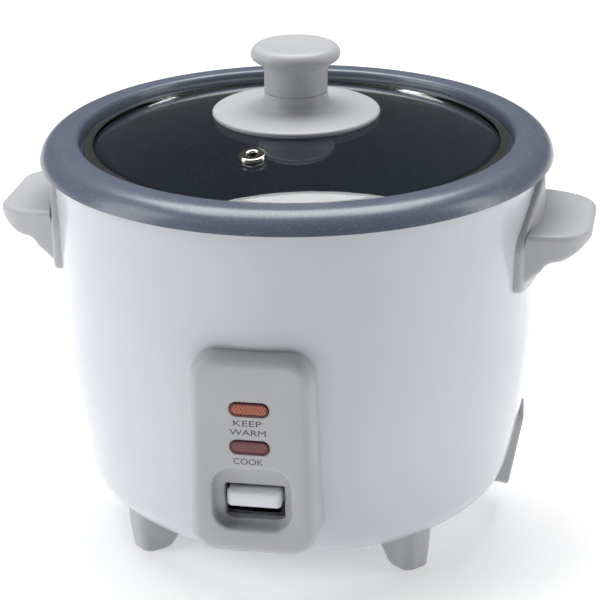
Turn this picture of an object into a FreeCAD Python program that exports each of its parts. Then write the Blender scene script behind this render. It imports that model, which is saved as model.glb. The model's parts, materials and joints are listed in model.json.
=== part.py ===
import FreeCAD, Part
import math
import os

Vec = FreeCAD.Vector

# A small drum rice cooker. Millimetres, +Z up, z = 0 under the feet, the axis through the origin,
# the control panel at the front (-Y), the side handles on +X and -X.

# ---- clearances ----
body_gap = 0.3                # between pieces that move apart
running_fit = 0.05            # radial, on a pin or a guide
same_body_fit = 0.05          # radial, between pieces fixed together

# ---- driving dimensions: heights, from the table up ----
foot_height = 12.0            # underside of the body above the table
works_height = 40.0           # room under the liner for the switch and the wiring
liner_floor_z = foot_height + works_height
pot_floor_z = liner_floor_z + 22.0
pot_depth = 92.0
pot_rim_z = pot_floor_z + pot_depth
rim_z = pot_rim_z - 10.0      # top edge of the body shell
side_z = liner_floor_z + 34.0  # where the straight side turns into the flank

# ---- driving dimensions: pot ----
pot_mouth_r = 88.0
pot_wall = 1.5
pot_flange_r = pot_mouth_r + 16.0
pot_flange_flat_r = pot_mouth_r + 6.15    # where the flat top of the flange begins to roll down
pot_wall_r = pot_mouth_r - 6.0            # inner radius below the ledge
pot_step = 7.3                # depth of the ledge that the lid sits on
pot_corner_r = 18.0
pot_edge_r = 2.0              # outward bends at the mouth and the ledge
pot_bend_r = 1.5              # inward bend at the back of the ledge
flange_lip_angle = 10.0       # the roll stops this far short of vertical

# ---- driving dimensions: body ----
shell_wall = 1.0
liner_wall = 0.8
pot_air = 2.1                 # between the pot's mouth and the liner
liner_gap = 4.8               # between the liner and the shell, at the top
liner_r = pot_mouth_r + pot_wall + pot_air + liner_wall
rim_r = liner_r + liner_gap + shell_wall  # outer radius of the shell at its top edge
side_r = rim_r - 1.7          # outer radius of the shell where its flank begins
flank_r = 242.0               # long curve of the lower side
corner_r = 21.5               # tight curve into the underside
base_hole_r = side_r - 38.5   # opening in the underside, closed by the base plate
liner_corner_r = 12.0
base_plate_t = 1.0
base_plate_inset = 0.6
vent_slots = 12
vent_slot_w = 3.0
vent_slot_l = 16.0
vent_ring_r = 36.0

# ---- driving dimensions: feet ----
foot_azimuth = 46.5           # each foot's bearing from the front or the back
foot_half_w = 6.5
foot_tread = 13.5             # length of the part that stands on the table
foot_root = 24.5              # length where the foot meets the body
foot_slant = 7.5              # how much longer it would be, as high again
foot_flare = 4.0              # lean of the outer face over twice the foot's height
foot_edge_r = 4.5
foot_tread_r = 1.2

# ---- driving dimensions: lid ----
lid_dome_sag = 13.96          # height of the glass dome over its own edge
lid_dome_dip = 0.86           # that edge below the top of the flat rim
lid_glass_t = 2.5
lid_lip = 3.4                 # flat edge of the glass, held in the ring
lid_side_gap = 1.6            # between the ring and the pot's mouth
ring_wall = 0.55
ring_leg = 4.0
ring_edge_r = 1.2
vent_radius_pos = 49.7
vent_azimuth = -9.4
eyelet_r = 5.5
eyelet_t = 1.5
eyelet_edge_r = 0.9
eyelet_curl_r = 4.9
eyelet_hole_r = 2.0
eyelet_neck_r = 3.6
knob_disc_r = 33.8
knob_disc_t = 2.2
knob_seat = 0.1               # air under the knob's disc
knob_flare_r = 5.0
knob_neck_r = 12.7
knob_cap_r = 18.0
knob_edge_r = 3.9
knob_throat = 7.0             # straight neck ends this far below the cap's widest part
knob_seam_h = 7.8             # seam between disc and cap, above the glass
knob_cap_h = 19.0
knob_screw_r = 2.0
knob_washer_r = 12.0
knob_seal_t = 1.4
knob_washer_t = 1.0

# ---- driving dimensions: handles ----
handle_reach = side_r + 24.5  # tip of each handle from the axis
handle_top_z = rim_z - 19.5
handle_h = 24.5
handle_bottom_z = handle_top_z - handle_h
handle_arch_h = 14.5          # top of the plate behind the wing, above the wing
handle_root_half = 32.0
handle_tip_half = 25.0
handle_tip_t = 6.5            # thickness of the wing at its tip
handle_plate_t = 3.0
handle_skin = 3.0
handle_root_r = 3.0
handle_tip_r = 12.0
handle_top_r = 2.5
handle_slope = 1.2            # the top's fall from the body to the tip
handle_inset = 12.0           # how far the blank starts inside the body
handle_throat = 8.0           # the underside rises this much beside the plate
handle_knee = (7.0, 12.5)     # where the underside turns outwards, past the body
handle_belly = (6.0, 15.2)    # the underside's low point, in from the tip
handle_hollow_gap = 5.0       # solid part between plate and finger hollow
handle_screw_z = handle_top_z - 6.5
handle_screw_azimuth = 7.0
handle_screw_l = 7.5

# ---- driving dimensions: power inlet ----
inlet_azimuth = 95.0
inlet_z = foot_height + 18.5
inlet_proud = 2.64            # its face in front of the shell
inlet_tilt = 11.0
inlet_w = 22.0
inlet_h = 32.0
inlet_depth = 20.0
inlet_wall = 2.7              # round its well, at the sides
inlet_wall_end = 3.7          # above and below the well
inlet_recess_depth = 15.0
inlet_chamfer = 4.0           # cut off the well's two keyed corners
inlet_corner_r = 2.5
inlet_face_edge_r = 0.8
blade_t = 2.0
blade_w = 4.0
blade_pitch = 7.0
blade_row_y = -2.0            # the two line blades
blade_earth_y = 2.5
blade_front = 4.5             # blade tips behind the inlet's face
blade_tail = 8.0              # blades behind the inlet's back
clip_t = 1.0
clip_rim = 3.0
clip_back = 3.0               # clip in front of the inlet's back

# ---- driving dimensions: cook switch ----
lever_pivot_y = -45.0
lever_pivot_z = liner_floor_z - 12.0
lever_travel_deg = 4.2
lever_t = 2.0
lever_w = 10.0
lever_over_pivot = 1.0        # pivot above the lever's top face
lever_boss_r = 3.4
lever_tail = 6.0              # lever past the axis
lever_grip = 3.0              # lever's end behind the paddle's face
lever_bend = 6.0              # length of the slope up to the paddle
lever_bend_gap = 2.5          # slope behind the paddle
pin_r = 1.5
pin_overhang = 2.0
bracket_t = 1.0
bracket_gap = 0.7
bracket_back = 8.0            # bracket behind the pivot
bracket_front = 36.0          # bracket in front of it
bracket_ear = 7.0
bracket_drop = 6.0
switch_reach = 26.0           # switch in front of the pivot
switch_half = 8.0
switch_h = 12.0
switch_well = 6.0
switch_stand = 2.0            # button's height over the switch when pressed

# ---- driving dimensions: control panel ----
panel_face_y = -(side_r + 7.1)
window_w = 23.5
window_top_z = lever_pivot_z + 13.9
window_bottom_z = lever_pivot_z - 0.7
recess_w = window_w + 7.5
recess_top_z = window_top_z + 9.1
recess_bottom_z = window_bottom_z - 2.1
recess_corner_r = 8.0
recess_floor_r = 2.0
recess_lip_r = 1.2
recess_depth = 6.1
recess_floor_y = panel_face_y + recess_depth
lens_w = 15.2
lens_h = 5.6
lens_x = -0.4
lens_proud = 0.3
lens_flange = 1.2
lens_flange_t = 0.8
lamp_r = 1.4
lamp_half = 5.0
lamp_cap_r = 1.6
lamp_cap_l = 3.0
lamp_gap = 0.3                # between the lamp's cap and the shell
cook_z = recess_top_z + 9.3
keep_warm_z = cook_z + 15.7
panel_top_z = keep_warm_z + 21.5
panel_bottom_z = recess_bottom_z - 11.2
panel_half_top = 24.2
panel_half_bottom = 25.4
panel_corner_r = 11.0
panel_edge_r = 5.0
panel_wall = 2.2
panel_blank = 40.0            # depth of the block the panel is cut from
panel_boss_r = 3.6
panel_screw_zs = (keep_warm_z + 12.5, panel_bottom_z + 5.5)
paddle_w = window_w - 1.5
paddle_h = 8.4
paddle_depth = 11.0
paddle_front_y = panel_face_y + 3.0
paddle_edge_r = 2.6
paddle_headroom = 0.9         # under the window's top edge
shell_slot_gap = 0.8          # the shell's opening round the window

# ---- driving dimensions: heating plate ----
plate_r = pot_wall_r - 16.0
plate_t = 10.2
element_ring_r = plate_r - 16.0
element_r = 4.0
element_cover = 1.0           # metal round the element
element_rib_half = 6.5
element_gap_deg = 30.0
element_leg = 3.0             # element's ends below the liner
plate_chamfer = 2.0
terminal_r = 1.5
terminal_l = 9.0
bead_r = 3.2
bead_l = 3.9
bead_gap = 0.1
post_r = 3.0
post_ring_r = 32.0
post_azimuths = (0, 120, 240)

# ---- driving dimensions: thermostat ----
sleeve_r = 14.44
sleeve_wall = 0.84
sleeve_floor = 1.0
sleeve_flange = 7.5
sleeve_top_z = pot_floor_z - 4.6
sleeve_bottom_z = liner_floor_z - 6.0
cap_wall = 1.0
cap_top_t = 1.2
cap_edge_r = 0.8
cap_lip = 1.51
cap_skirt_z = liner_floor_z + 7.0
cap_inner_r = sleeve_r + running_fit
cap_outer_r = cap_inner_r + cap_wall
cap_lip_r = cap_outer_r + cap_lip
plate_hole_r = cap_lip_r + 2.0
sensor_dip = 1.0              # how far the sensor cap yields
magnet_r = sleeve_r - sleeve_wall - 2.1
magnet_t = 8.0
magnet_edge_r = 0.6
ferrite_r = magnet_r + 0.5
ferrite_t = 5.0
ferrite_pocket_r = 6.0
ferrite_pocket = 3.5
rod_r = 2.0
rod_tail = 4.0
collar_r = 3.5
collar_t = 1.6
rod_washer_w = 1.4
rod_washer_t = 1.2
sensor_wire_r = 0.5
sensor_turns = 3
magnet_wire_r = 0.35
magnet_coil_r = 4.4
magnet_turns = 4
spring_gap = 0.05

# ---- driving dimensions: small electrical pieces ----
resistor_half = 20.0
resistor_y = (36.0, 44.0)
resistor_h = 8.0
clip_strap_half = 5.0
clip_strap_t = 1.0
clip_strap_front = 8.0        # foot of the resistor's clip in front of it
fuse_x = (30.0, 42.0)
fuse_y = 22.0
fuse_drop = 3.2               # fuse below the liner
fuse_r = 2.0
fuse_wire_r = 0.5
fuse_wire_l = 6.0
fuse_band_t = 1.0
fuse_band_inset = 3.0
fuse_tab_y = (1.5, 9.0)
lead_r = 0.85
lead_bend = 0.45              # share of the shorter run that a bend takes

# ---- small hardware ----
screw_r = 1.6
screw_head_r = 3.0
screw_head_t = 1.8
screw_slot_w = 0.8
screw_slot_depth = 0.7
foot_screw_l = 10.0


# ---- helpers ----
tiny = 1e-6
near = 0.01                   # slack when edges are picked by their place


def polar(radius, azimuth, z):
    """A point at an azimuth measured from the front towards +X."""
    a = math.radians(azimuth)
    return Vec(radius * math.sin(a), -radius * math.cos(a), z)


def outward(azimuth):
    return polar(1.0, azimuth, 0.0)


def rz(r, z):
    """A point of a turned profile, in the XZ plane."""
    return Vec(r, 0, z)


def line(a, b):
    return Part.LineSegment(a, b).toShape()


def arc_rz(centre_r, centre_z, radius, start_deg, end_deg):
    """An arc of a turned profile, by its angles above the horizontal."""
    pts = []
    for deg in (start_deg, (start_deg + end_deg) / 2, end_deg):
        a = math.radians(deg)
        pts.append(rz(centre_r + radius * math.cos(a), centre_z + radius * math.sin(a)))
    return Part.Arc(*pts).toShape()


def ends(edge):
    return edge.valueAt(edge.FirstParameter), edge.valueAt(edge.LastParameter)


def join(parts):
    """Edges in order, with straight lines from each to the next where they don't meet."""
    edges = []
    last = None
    for part in parts:
        is_point = isinstance(part, FreeCAD.Vector)
        first = part if is_point else ends(part)[0]
        if last is not None and last.distanceToPoint(first) > tiny:
            edges.append(line(last, first))
        if not is_point:
            edges.append(part)
        last = part if is_point else ends(part)[1]
    return edges


def closed_face(parts):
    begin = parts[0] if isinstance(parts[0], FreeCAD.Vector) else ends(parts[0])[0]
    return Part.Face(Part.Wire(Part.__sortEdges__(join(list(parts) + [begin]))))


def turned(parts):
    """A solid of revolution about Z from a closed profile in the XZ plane."""
    return solid_of(closed_face(parts).revolve(Vec(0, 0, 0), Vec(0, 0, 1), 360))


def solid_of(shape):
    solids = shape.Solids
    return solids[0] if len(solids) == 1 else Part.makeCompound(solids)


def disc(r, z0, z1, x=0.0, y=0.0):
    return Part.makeCylinder(r, z1 - z0, Vec(x, y, z0))


def ring(r_in, r_out, z0, z1):
    return disc(r_out, z0, z1).cut(disc(r_in, z0, z1))


def rod(r, start, end):
    return Part.makeCylinder(r, start.distanceToPoint(end), start, end.sub(start))


def box(x0, x1, y0, y1, z0, z1):
    return Part.makeBox(x1 - x0, y1 - y0, z1 - z0, Vec(x0, y0, z0))


def rounded_outline(points, radii, place):
    """A closed face through the points, each corner rounded by its radius; place maps (u, v)."""
    n = len(points)
    starts, mids, stops = [], [], []
    for i in range(n):
        p = points[i]
        before = points[i - 1]
        after = points[(i + 1) % n]
        u = FreeCAD.Vector(before[0] - p[0], before[1] - p[1], 0).normalize()
        v = FreeCAD.Vector(after[0] - p[0], after[1] - p[1], 0).normalize()
        half = u.getAngle(v) / 2
        reach = radii[i] / math.tan(half)
        middle = (u + v).normalize() * (radii[i] / math.sin(half) - radii[i])
        corner = FreeCAD.Vector(p[0], p[1], 0)
        starts.append(corner + u * reach)
        mids.append(corner + middle)
        stops.append(corner + v * reach)
    edges = []
    for i in range(n):
        if radii[i] > 0:
            edges.append(Part.Arc(place(starts[i]), place(mids[i]), place(stops[i])).toShape())
        a, b = place(stops[i]), place(starts[(i + 1) % n])
        if a.distanceToPoint(b) > tiny:
            edges.append(line(a, b))
    return Part.Face(Part.Wire(edges))


def in_xz(y):
    return lambda p: Vec(p.x, y, p.y)


def in_xy(z):
    return lambda p: Vec(p.x, p.y, z)


def in_yz(x):
    return lambda p: Vec(x, p.x, p.y)


def mirrored_x(shape):
    return shape.mirror(Vec(0, 0, 0), Vec(1, 0, 0))


def screw(head_base, direction, shank, head_radius=screw_head_r, head_t=screw_head_t, r=screw_r):
    """A pan-head screw: the head sits behind head_base, the shank goes along direction."""
    way = Vec(direction).normalize()
    shank_solid = rod(r, head_base, head_base + way * shank)
    head = rod(head_radius, head_base - way * head_t, head_base)
    slot = Part.makeBox(3 * head_radius, screw_slot_w, screw_slot_depth,
                        Vec(-1.5 * head_radius, -screw_slot_w / 2, 0))
    slot.Placement = FreeCAD.Placement(head_base - way * head_t, FreeCAD.Rotation(Vec(0, 0, 1), way))
    return solid_of(head.fuse(shank_solid).cut(slot).removeSplitter())


def hole(head_base, direction, length, r=screw_r):
    way = Vec(direction).normalize()
    return rod(r + same_body_fit, head_base - way * 1.0, head_base + way * length)


def save(name, shape):
    if not shape.isValid():
        raise RuntimeError(name + " is not a valid shape")
    shape.exportStep(os.path.join("parts", name + ".step"))
    count = len(shape.Solids)
    size = shape.BoundBox
    print("%-20s solids %d volume %.0f box %.1f %.1f %.1f" % (
        name, count, shape.Volume, size.XLength, size.YLength, size.ZLength))


# ---- the body's outline, which everything outside follows ----
taper = math.atan((rim_r - side_r) / (rim_z - side_z))
flank_centre = (side_r - flank_r * math.cos(taper), side_z + flank_r * math.sin(taper))
corner_sine = (flank_centre[1] - corner_r - foot_height) / (flank_r - corner_r)
corner_angle = math.asin(corner_sine)
corner_centre = (flank_centre[0] + (flank_r - corner_r) * math.cos(corner_angle),
                 flank_centre[1] - (flank_r - corner_r) * corner_sine)


def body_solid(grow=0.0):
    """The whole body as one filled turned solid, grown outwards by grow."""
    taper_deg = math.degrees(taper)
    corner_deg = math.degrees(corner_angle)
    return turned([
        rz(0, foot_height - grow),
        arc_rz(corner_centre[0], corner_centre[1], corner_r + grow, -90, -corner_deg),
        arc_rz(flank_centre[0], flank_centre[1], flank_r + grow, -corner_deg, -taper_deg),
        rz(rim_r + grow / math.cos(taper), rim_z),
        rz(0, rim_z)])


def shell_radius(z):
    """Outer radius of the shell at a height."""
    if z >= side_z:
        return side_r + (z - side_z) * math.tan(taper)
    if z >= corner_centre[1] - corner_r * math.sin(corner_angle):
        return flank_centre[0] + math.sqrt(flank_r ** 2 - (z - flank_centre[1]) ** 2)
    return corner_centre[0] + math.sqrt(corner_r ** 2 - (z - corner_centre[1]) ** 2)


# ---- positions that several pieces share ----
liner_top_z = rim_z + liner_wall
liner_inside_z = liner_floor_z + liner_wall
plate_top_z = pot_floor_z - pot_wall - body_gap
plate_bottom_z = plate_top_z - plate_t
element_z = plate_bottom_z - element_r / 2
terminal_azimuths = (180 - element_gap_deg / 2, 180 + element_gap_deg / 2)
terminal_top_z = liner_floor_z - element_leg
ferrite_top_z = plate_top_z - cap_top_t
ferrite_bottom_z = ferrite_top_z - ferrite_t
lever_travel = math.radians(lever_travel_deg)
magnet_lift = (collar_r - lever_pivot_y) * math.sin(lever_travel)
magnet_top_z = ferrite_bottom_z - magnet_lift - sensor_dip - body_gap
magnet_bottom_z = magnet_top_z - magnet_t
lever_top_z = lever_pivot_z - lever_over_pivot
lever_tip_z = window_top_z - paddle_headroom - paddle_h / 2 - lever_t / 2
collar_z = lever_top_z + body_gap
rod_bottom_z = lever_top_z - lever_t - rod_tail
ear_inner = lever_w / 2 + body_gap + bracket_gap
ear_outer = ear_inner + bracket_t
switch_y = lever_pivot_y - switch_reach
switch_drop = switch_reach * math.sin(lever_travel)
button_top_z = lever_top_z - lever_t - body_gap
switch_top_z = button_top_z - switch_drop - switch_stand
switch_low_z = switch_top_z - switch_h
lid_ledge_z = pot_rim_z - pot_step
ring_bottom_z = lid_ledge_z + body_gap
ring_r = pot_mouth_r - lid_side_gap
glass_bottom_z = ring_bottom_z + ring_wall + same_body_fit
glass_edge_z = glass_bottom_z + lid_glass_t
glass_edge_r = ring_r - ring_wall - same_body_fit
dome_edge_r = glass_edge_r - lid_lip
lid_dome_r = (dome_edge_r ** 2 + lid_dome_sag ** 2) / (2 * lid_dome_sag)
glass_top_z = glass_edge_z + lid_dome_sag - lid_dome_dip
dome_centre_z = glass_top_z - lid_dome_r
knob_seam_z = glass_top_z + knob_seam_h
knob_top_z = knob_seam_z + knob_cap_h
foot_azimuths = {"front_left": -foot_azimuth, "front_right": foot_azimuth,
                 "rear_right": 180 - foot_azimuth, "rear_left": foot_azimuth - 180}
foot_screw_r = (base_hole_r + corner_centre[0]) / 2
resistor_top_z = liner_floor_z - clip_strap_t
fuse_z = liner_floor_z - fuse_drop


def dome_z(radius, below=0.0):
    """Height of the glass dome's outer surface, or of a surface that far below it."""
    return dome_centre_z + math.sqrt((lid_dome_r - below) ** 2 - radius ** 2)


# ---- power inlet: shared frame ----
def inlet_frame():
    """Local +X out of the inlet's face, +Z up along it, the origin in the middle of the face."""
    turn = FreeCAD.Rotation(Vec(0, 0, 1), inlet_azimuth - 90)
    lean = FreeCAD.Rotation(Vec(0, 1, 0), inlet_tilt)
    middle = polar(shell_radius(inlet_z) + inlet_proud, inlet_azimuth, inlet_z)
    return FreeCAD.Placement(middle, turn.multiply(lean))


def placed(shape, frame):
    shape = shape.copy()
    shape.Placement = frame.multiply(shape.Placement)
    return shape


def inlet_block(grow=0.0, depth=inlet_depth):
    """The boss round the inlet, in the inlet's own frame."""
    face = rounded_outline(
        [(-inlet_w / 2 - grow, -inlet_h / 2 - grow), (inlet_w / 2 + grow, -inlet_h / 2 - grow),
         (inlet_w / 2 + grow, inlet_h / 2 + grow), (-inlet_w / 2 - grow, inlet_h / 2 + grow)],
        [inlet_corner_r + grow] * 4, in_yz(-depth))
    return face.extrude(Vec(depth, 0, 0))


# ---- body ----
def panel_slot(grow):
    half = window_w / 2 + grow
    return box(-half, half, -rim_r, -corner_centre[0], window_bottom_z - grow, window_top_z + grow)


def outer_shell():
    shell = body_solid().cut(body_solid(-shell_wall))
    shell = shell.cut(disc(base_hole_r, 0, foot_height + 2 * shell_wall))
    shell = shell.cut(panel_slot(shell_slot_gap))
    shell = shell.cut(placed(inlet_block(same_body_fit, inlet_depth + 5), inlet_frame()))
    for azimuth in foot_azimuths.values():
        shell = shell.cut(hole(polar(foot_screw_r, azimuth, foot_height - 1), Vec(0, 0, 1), 3))
    for side in (90, -90):
        for turn in (-handle_screw_azimuth, handle_screw_azimuth):
            start, way = handle_screw_place(side + turn)
            shell = shell.cut(hole(start, way, 4))
    for z in panel_screw_zs:
        start, way = panel_screw_place(z)
        shell = shell.cut(hole(start, way, 6))
    return solid_of(shell)


def inner_liner():
    corner_z = liner_floor_z + liner_corner_r
    inner = liner_r - liner_wall
    cup = turned([
        rz(0, liner_floor_z),
        arc_rz(liner_r - liner_corner_r, corner_z, liner_corner_r, -90, 0),
        rz(liner_r, rim_z), rz(rim_r - shell_wall / 2, rim_z), rz(rim_r - shell_wall / 2, liner_top_z),
        rz(inner, liner_top_z),
        arc_rz(liner_r - liner_corner_r, corner_z, liner_corner_r - liner_wall, 0, -90),
        rz(0, liner_inside_z)])
    cup = cup.cut(disc(sleeve_r + same_body_fit, liner_floor_z - 1, liner_inside_z + 1))
    for azimuth in post_azimuths:
        cup = cup.cut(hole(polar(post_ring_r, azimuth, liner_floor_z - 1), Vec(0, 0, 1), 4))
    for azimuth in terminal_azimuths:
        spot = polar(element_ring_r, azimuth, 0)
        cup = cup.cut(disc(element_r + element_cover, liner_floor_z - 1, liner_inside_z + 1, spot.x, spot.y))
    return solid_of(cup)


def base_plate():
    low = foot_height + shell_wall
    plate = disc(corner_centre[0] - base_plate_inset, low, low + base_plate_t)
    half = vent_slot_l / 2
    for i in range(vent_slots):
        slot = rounded_outline(
            [(vent_ring_r - half, -vent_slot_w / 2), (vent_ring_r + half, -vent_slot_w / 2),
             (vent_ring_r + half, vent_slot_w / 2), (vent_ring_r - half, vent_slot_w / 2)],
            [vent_slot_w * 0.49] * 4, in_xy(foot_height)).extrude(Vec(0, 0, 4))
        slot.rotate(Vec(0, 0, 0), Vec(0, 0, 1), (i + 0.5) * 360 / vent_slots)
        plate = plate.cut(slot)
    for azimuth in foot_azimuths.values():
        plate = plate.cut(hole(polar(foot_screw_r, azimuth, foot_height), Vec(0, 0, 1), 4))
    return solid_of(plate)


def foot(azimuth):
    """A wedge leg: steep outer face, slanted inner face, cut to the body's underside."""
    outer = corner_centre[0] + 0.6 * corner_r
    inner = outer - foot_tread
    root = outer - foot_root
    side = Part.Face(Part.makePolygon([
        rz(inner, 0), rz(outer, 0), rz(outer + foot_flare, 2 * foot_height),
        rz(root - foot_slant, 2 * foot_height), rz(root, foot_height), rz(inner, 0)]))
    leg = side.translated(Vec(0, -foot_half_w, 0)).extrude(Vec(0, 2 * foot_half_w, 0))
    upright = [e for e in leg.Edges if e.BoundBox.YLength < near and e.BoundBox.ZMin < 1 < e.BoundBox.ZLength]
    leg = leg.makeFillet(foot_edge_r, upright)
    leg = leg.makeFillet(foot_tread_r, [e for e in leg.Edges if e.BoundBox.ZMax < near])
    leg.rotate(Vec(0, 0, 0), Vec(0, 0, 1), azimuth - 90)
    leg = leg.cut(body_solid())
    spot = polar(foot_screw_r, azimuth, 0)
    leg = leg.cut(disc(screw_head_r + 0.5, -1, foot_height / 2, spot.x, spot.y))
    leg = leg.cut(disc(screw_r + same_body_fit, -1, foot_height + 1, spot.x, spot.y))
    return solid_of(leg)


def foot_screws():
    screws = []
    for azimuth in foot_azimuths.values():
        screws.append(screw(polar(foot_screw_r, azimuth, foot_height / 2), Vec(0, 0, 1), foot_screw_l))
    return Part.makeCompound(screws)


# ---- handles ----
def handle_screw_place(azimuth):
    """Where a handle screw's head seats inside the shell, and its way out."""
    seat = shell_radius(handle_screw_z) - shell_wall - 2 * same_body_fit
    return polar(seat, azimuth, handle_screw_z), outward(azimuth)


def handle_wing(inside, root):
    """The part that is held: its plan shape and its side shape, cut from each other."""
    blank_z = handle_bottom_z - 5
    neck = root + 1.0
    plan = rounded_outline(
        [(inside, -handle_root_half), (root - 4, -handle_root_half), (handle_reach, -handle_tip_half),
         (handle_reach, handle_tip_half), (root - 4, handle_root_half), (inside, handle_root_half)],
        [0, handle_root_r, handle_tip_r, handle_tip_r, handle_root_r, 0],
        in_xy(blank_z)).extrude(Vec(0, 0, 2 * handle_h))
    plate_x = root + handle_plate_t
    knee = rz(root + handle_plate_t + handle_knee[0], handle_bottom_z + handle_knee[1])
    tip_low = rz(handle_reach, handle_top_z - handle_tip_t + 2)
    tip_high = rz(handle_reach, handle_top_z - handle_slope)
    side = Part.Face(Part.Wire([
        line(rz(inside, handle_bottom_z), rz(plate_x, handle_bottom_z)),
        Part.Arc(rz(plate_x, handle_bottom_z), rz(plate_x + 1.6, handle_bottom_z + handle_throat),
                 knee).toShape(),
        Part.Arc(knee, rz(handle_reach - handle_belly[0], handle_bottom_z + handle_belly[1]),
                 tip_low).toShape(),
        line(tip_low, tip_high), line(tip_high, rz(neck, handle_top_z)),
        line(rz(neck, handle_top_z), rz(inside, handle_top_z)),
        line(rz(inside, handle_top_z), rz(inside, handle_bottom_z))]))
    side = side.translated(Vec(0, -handle_root_half, 0)).extrude(Vec(0, 2 * handle_root_half, 0))
    wing = plan.common(side)
    top_edges = [e for e in wing.Edges if e.BoundBox.ZMin > handle_top_z - handle_slope - 0.3
                 and e.BoundBox.XMax > neck + 1]
    return wing.makeFillet(handle_top_r, top_edges)


def handle_hollow(root):
    """The finger space under the wing."""
    start = root + handle_plate_t + handle_hollow_gap
    end = handle_reach - handle_skin
    half = handle_tip_half - handle_skin
    return rounded_outline(
        [(start, -handle_tip_half), (start, handle_tip_half), (end, half), (end, -half)],
        [4, 4, 8, 8], in_xy(handle_bottom_z - 5)).extrude(Vec(0, 0, handle_h - handle_skin + 5))


def handle_plate(inside):
    """The arched plate that lies on the shell, above and behind the wing."""
    half = handle_root_half
    low, soft = handle_bottom_z, handle_root_r
    shoulder = handle_top_z - 4

    def at(y, z):
        return Vec(inside, y, z)

    arch = Part.Face(Part.Wire([
        line(at(-half, shoulder), at(-half, low + soft)),
        Part.Arc(at(-half, low + soft), at(-half + 1, low + 1), at(-half + soft, low)).toShape(),
        line(at(-half + soft, low), at(half - soft, low)),
        Part.Arc(at(half - soft, low), at(half - 1, low + 1), at(half, low + soft)).toShape(),
        line(at(half, low + soft), at(half, shoulder)),
        Part.Arc(at(half, shoulder), at(0, handle_top_z + handle_arch_h), at(-half, shoulder)).toShape()]))
    return arch.extrude(Vec(handle_root_half, 0, 0)).common(body_solid(handle_plate_t))


def handle_right():
    root = shell_radius(handle_bottom_z)
    inside = root - handle_inset
    wing = handle_wing(inside, root).cut(handle_hollow(root))
    handle = wing.fuse(handle_plate(inside)).cut(body_solid()).removeSplitter()
    for turn in (-handle_screw_azimuth, handle_screw_azimuth):
        start, way = handle_screw_place(90 + turn)
        handle = handle.cut(hole(start, way, handle_screw_l + 0.5))
    return solid_of(handle)


def handle_screws():
    screws = []
    for side in (90, -90):
        for turn in (-handle_screw_azimuth, handle_screw_azimuth):
            start, way = handle_screw_place(side + turn)
            screws.append(screw(start, way, handle_screw_l))
    return Part.makeCompound(screws)


# ---- control panel ----
def panel_outline(inset, y, depth):
    """The panel's front outline, drawn in by inset and extruded back from y."""
    half_top, half_bottom = panel_half_top - inset, panel_half_bottom - inset
    low, high = panel_bottom_z + inset, panel_top_z - inset
    corner = panel_corner_r - inset
    face = rounded_outline([(-half_bottom, low), (half_bottom, low), (half_top, high), (-half_top, high)],
                           [corner] * 4, in_xz(y))
    return face.extrude(Vec(0, depth, 0))


def recess_outline(grow, y, depth):
    half = recess_w / 2 + grow
    low, high = recess_bottom_z - grow, recess_top_z + grow
    face = rounded_outline([(-half, low), (half, low), (half, high), (-half, high)],
                           [recess_corner_r + grow] * 4, in_xz(y))
    return face.extrude(Vec(0, depth, 0))


def stadium(width, height, x, z, y, depth):
    """A slot-shaped bar with its long side along X."""
    face = rounded_outline([(x - width / 2, z - height / 2), (x + width / 2, z - height / 2),
                            (x + width / 2, z + height / 2), (x - width / 2, z + height / 2)],
                           [height * 0.49] * 4, in_xz(y))
    return face.extrude(Vec(0, depth, 0))


def panel_screw_place(z):
    """Where a panel screw's head seats inside the shell, and its way to the front."""
    narrowest = shell_radius(z - screw_head_r) - shell_wall
    return Vec(0, -(narrowest - body_gap), z), Vec(0, -1, 0)


def control_panel():
    back = panel_face_y + panel_wall
    panel = panel_outline(0, panel_face_y, panel_blank)
    panel = panel.makeFillet(panel_edge_r, [e for e in panel.Edges if e.BoundBox.YMax < panel_face_y + near])
    hollow = panel_outline(panel_wall, back, panel_blank)
    hollow = hollow.cut(recess_outline(panel_wall, back - 1, panel_blank))
    for z in panel_screw_zs:
        hollow = hollow.cut(rod(panel_boss_r, Vec(0, back - 1, z), Vec(0, back + panel_blank, z)))
    panel = panel.cut(hollow)
    well = recess_outline(0, panel_face_y - 1, recess_depth + 1)
    floor_edges = [e for e in well.Edges if e.BoundBox.YMin > recess_floor_y - near]
    panel = panel.cut(well.makeFillet(recess_floor_r, floor_edges))
    rim = [e for e in panel.Edges if abs(e.BoundBox.YMin - panel_face_y) < near
           and e.BoundBox.YLength < near and recess_bottom_z - 1 < e.BoundBox.ZMin
           and e.BoundBox.ZMax < recess_top_z + 1 and abs(e.BoundBox.XMin) < recess_w]
    panel = panel.makeFillet(recess_lip_r, rim)
    half = window_w / 2
    panel = panel.cut(box(-half, half, panel_face_y, panel_face_y + panel_blank,
                          window_bottom_z, window_top_z))
    panel = panel.cut(recess_outline(0, recess_floor_y + panel_wall, panel_blank))
    fit = 2 * same_body_fit
    for z in (keep_warm_z, cook_z):
        panel = panel.cut(stadium(lens_w + fit, lens_h + fit, lens_x, z, panel_face_y - 1, panel_blank))
    for z in panel_screw_zs:
        start, way = panel_screw_place(z)
        panel = panel.cut(hole(start, way, start.y - back))
    return solid_of(panel.cut(body_solid(same_body_fit)))


def panel_screws():
    screws = []
    for z in panel_screw_zs:
        start, way = panel_screw_place(z)
        screws.append(screw(start, way, start.y - panel_face_y - panel_wall - 0.4))
    return Part.makeCompound(screws)


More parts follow.
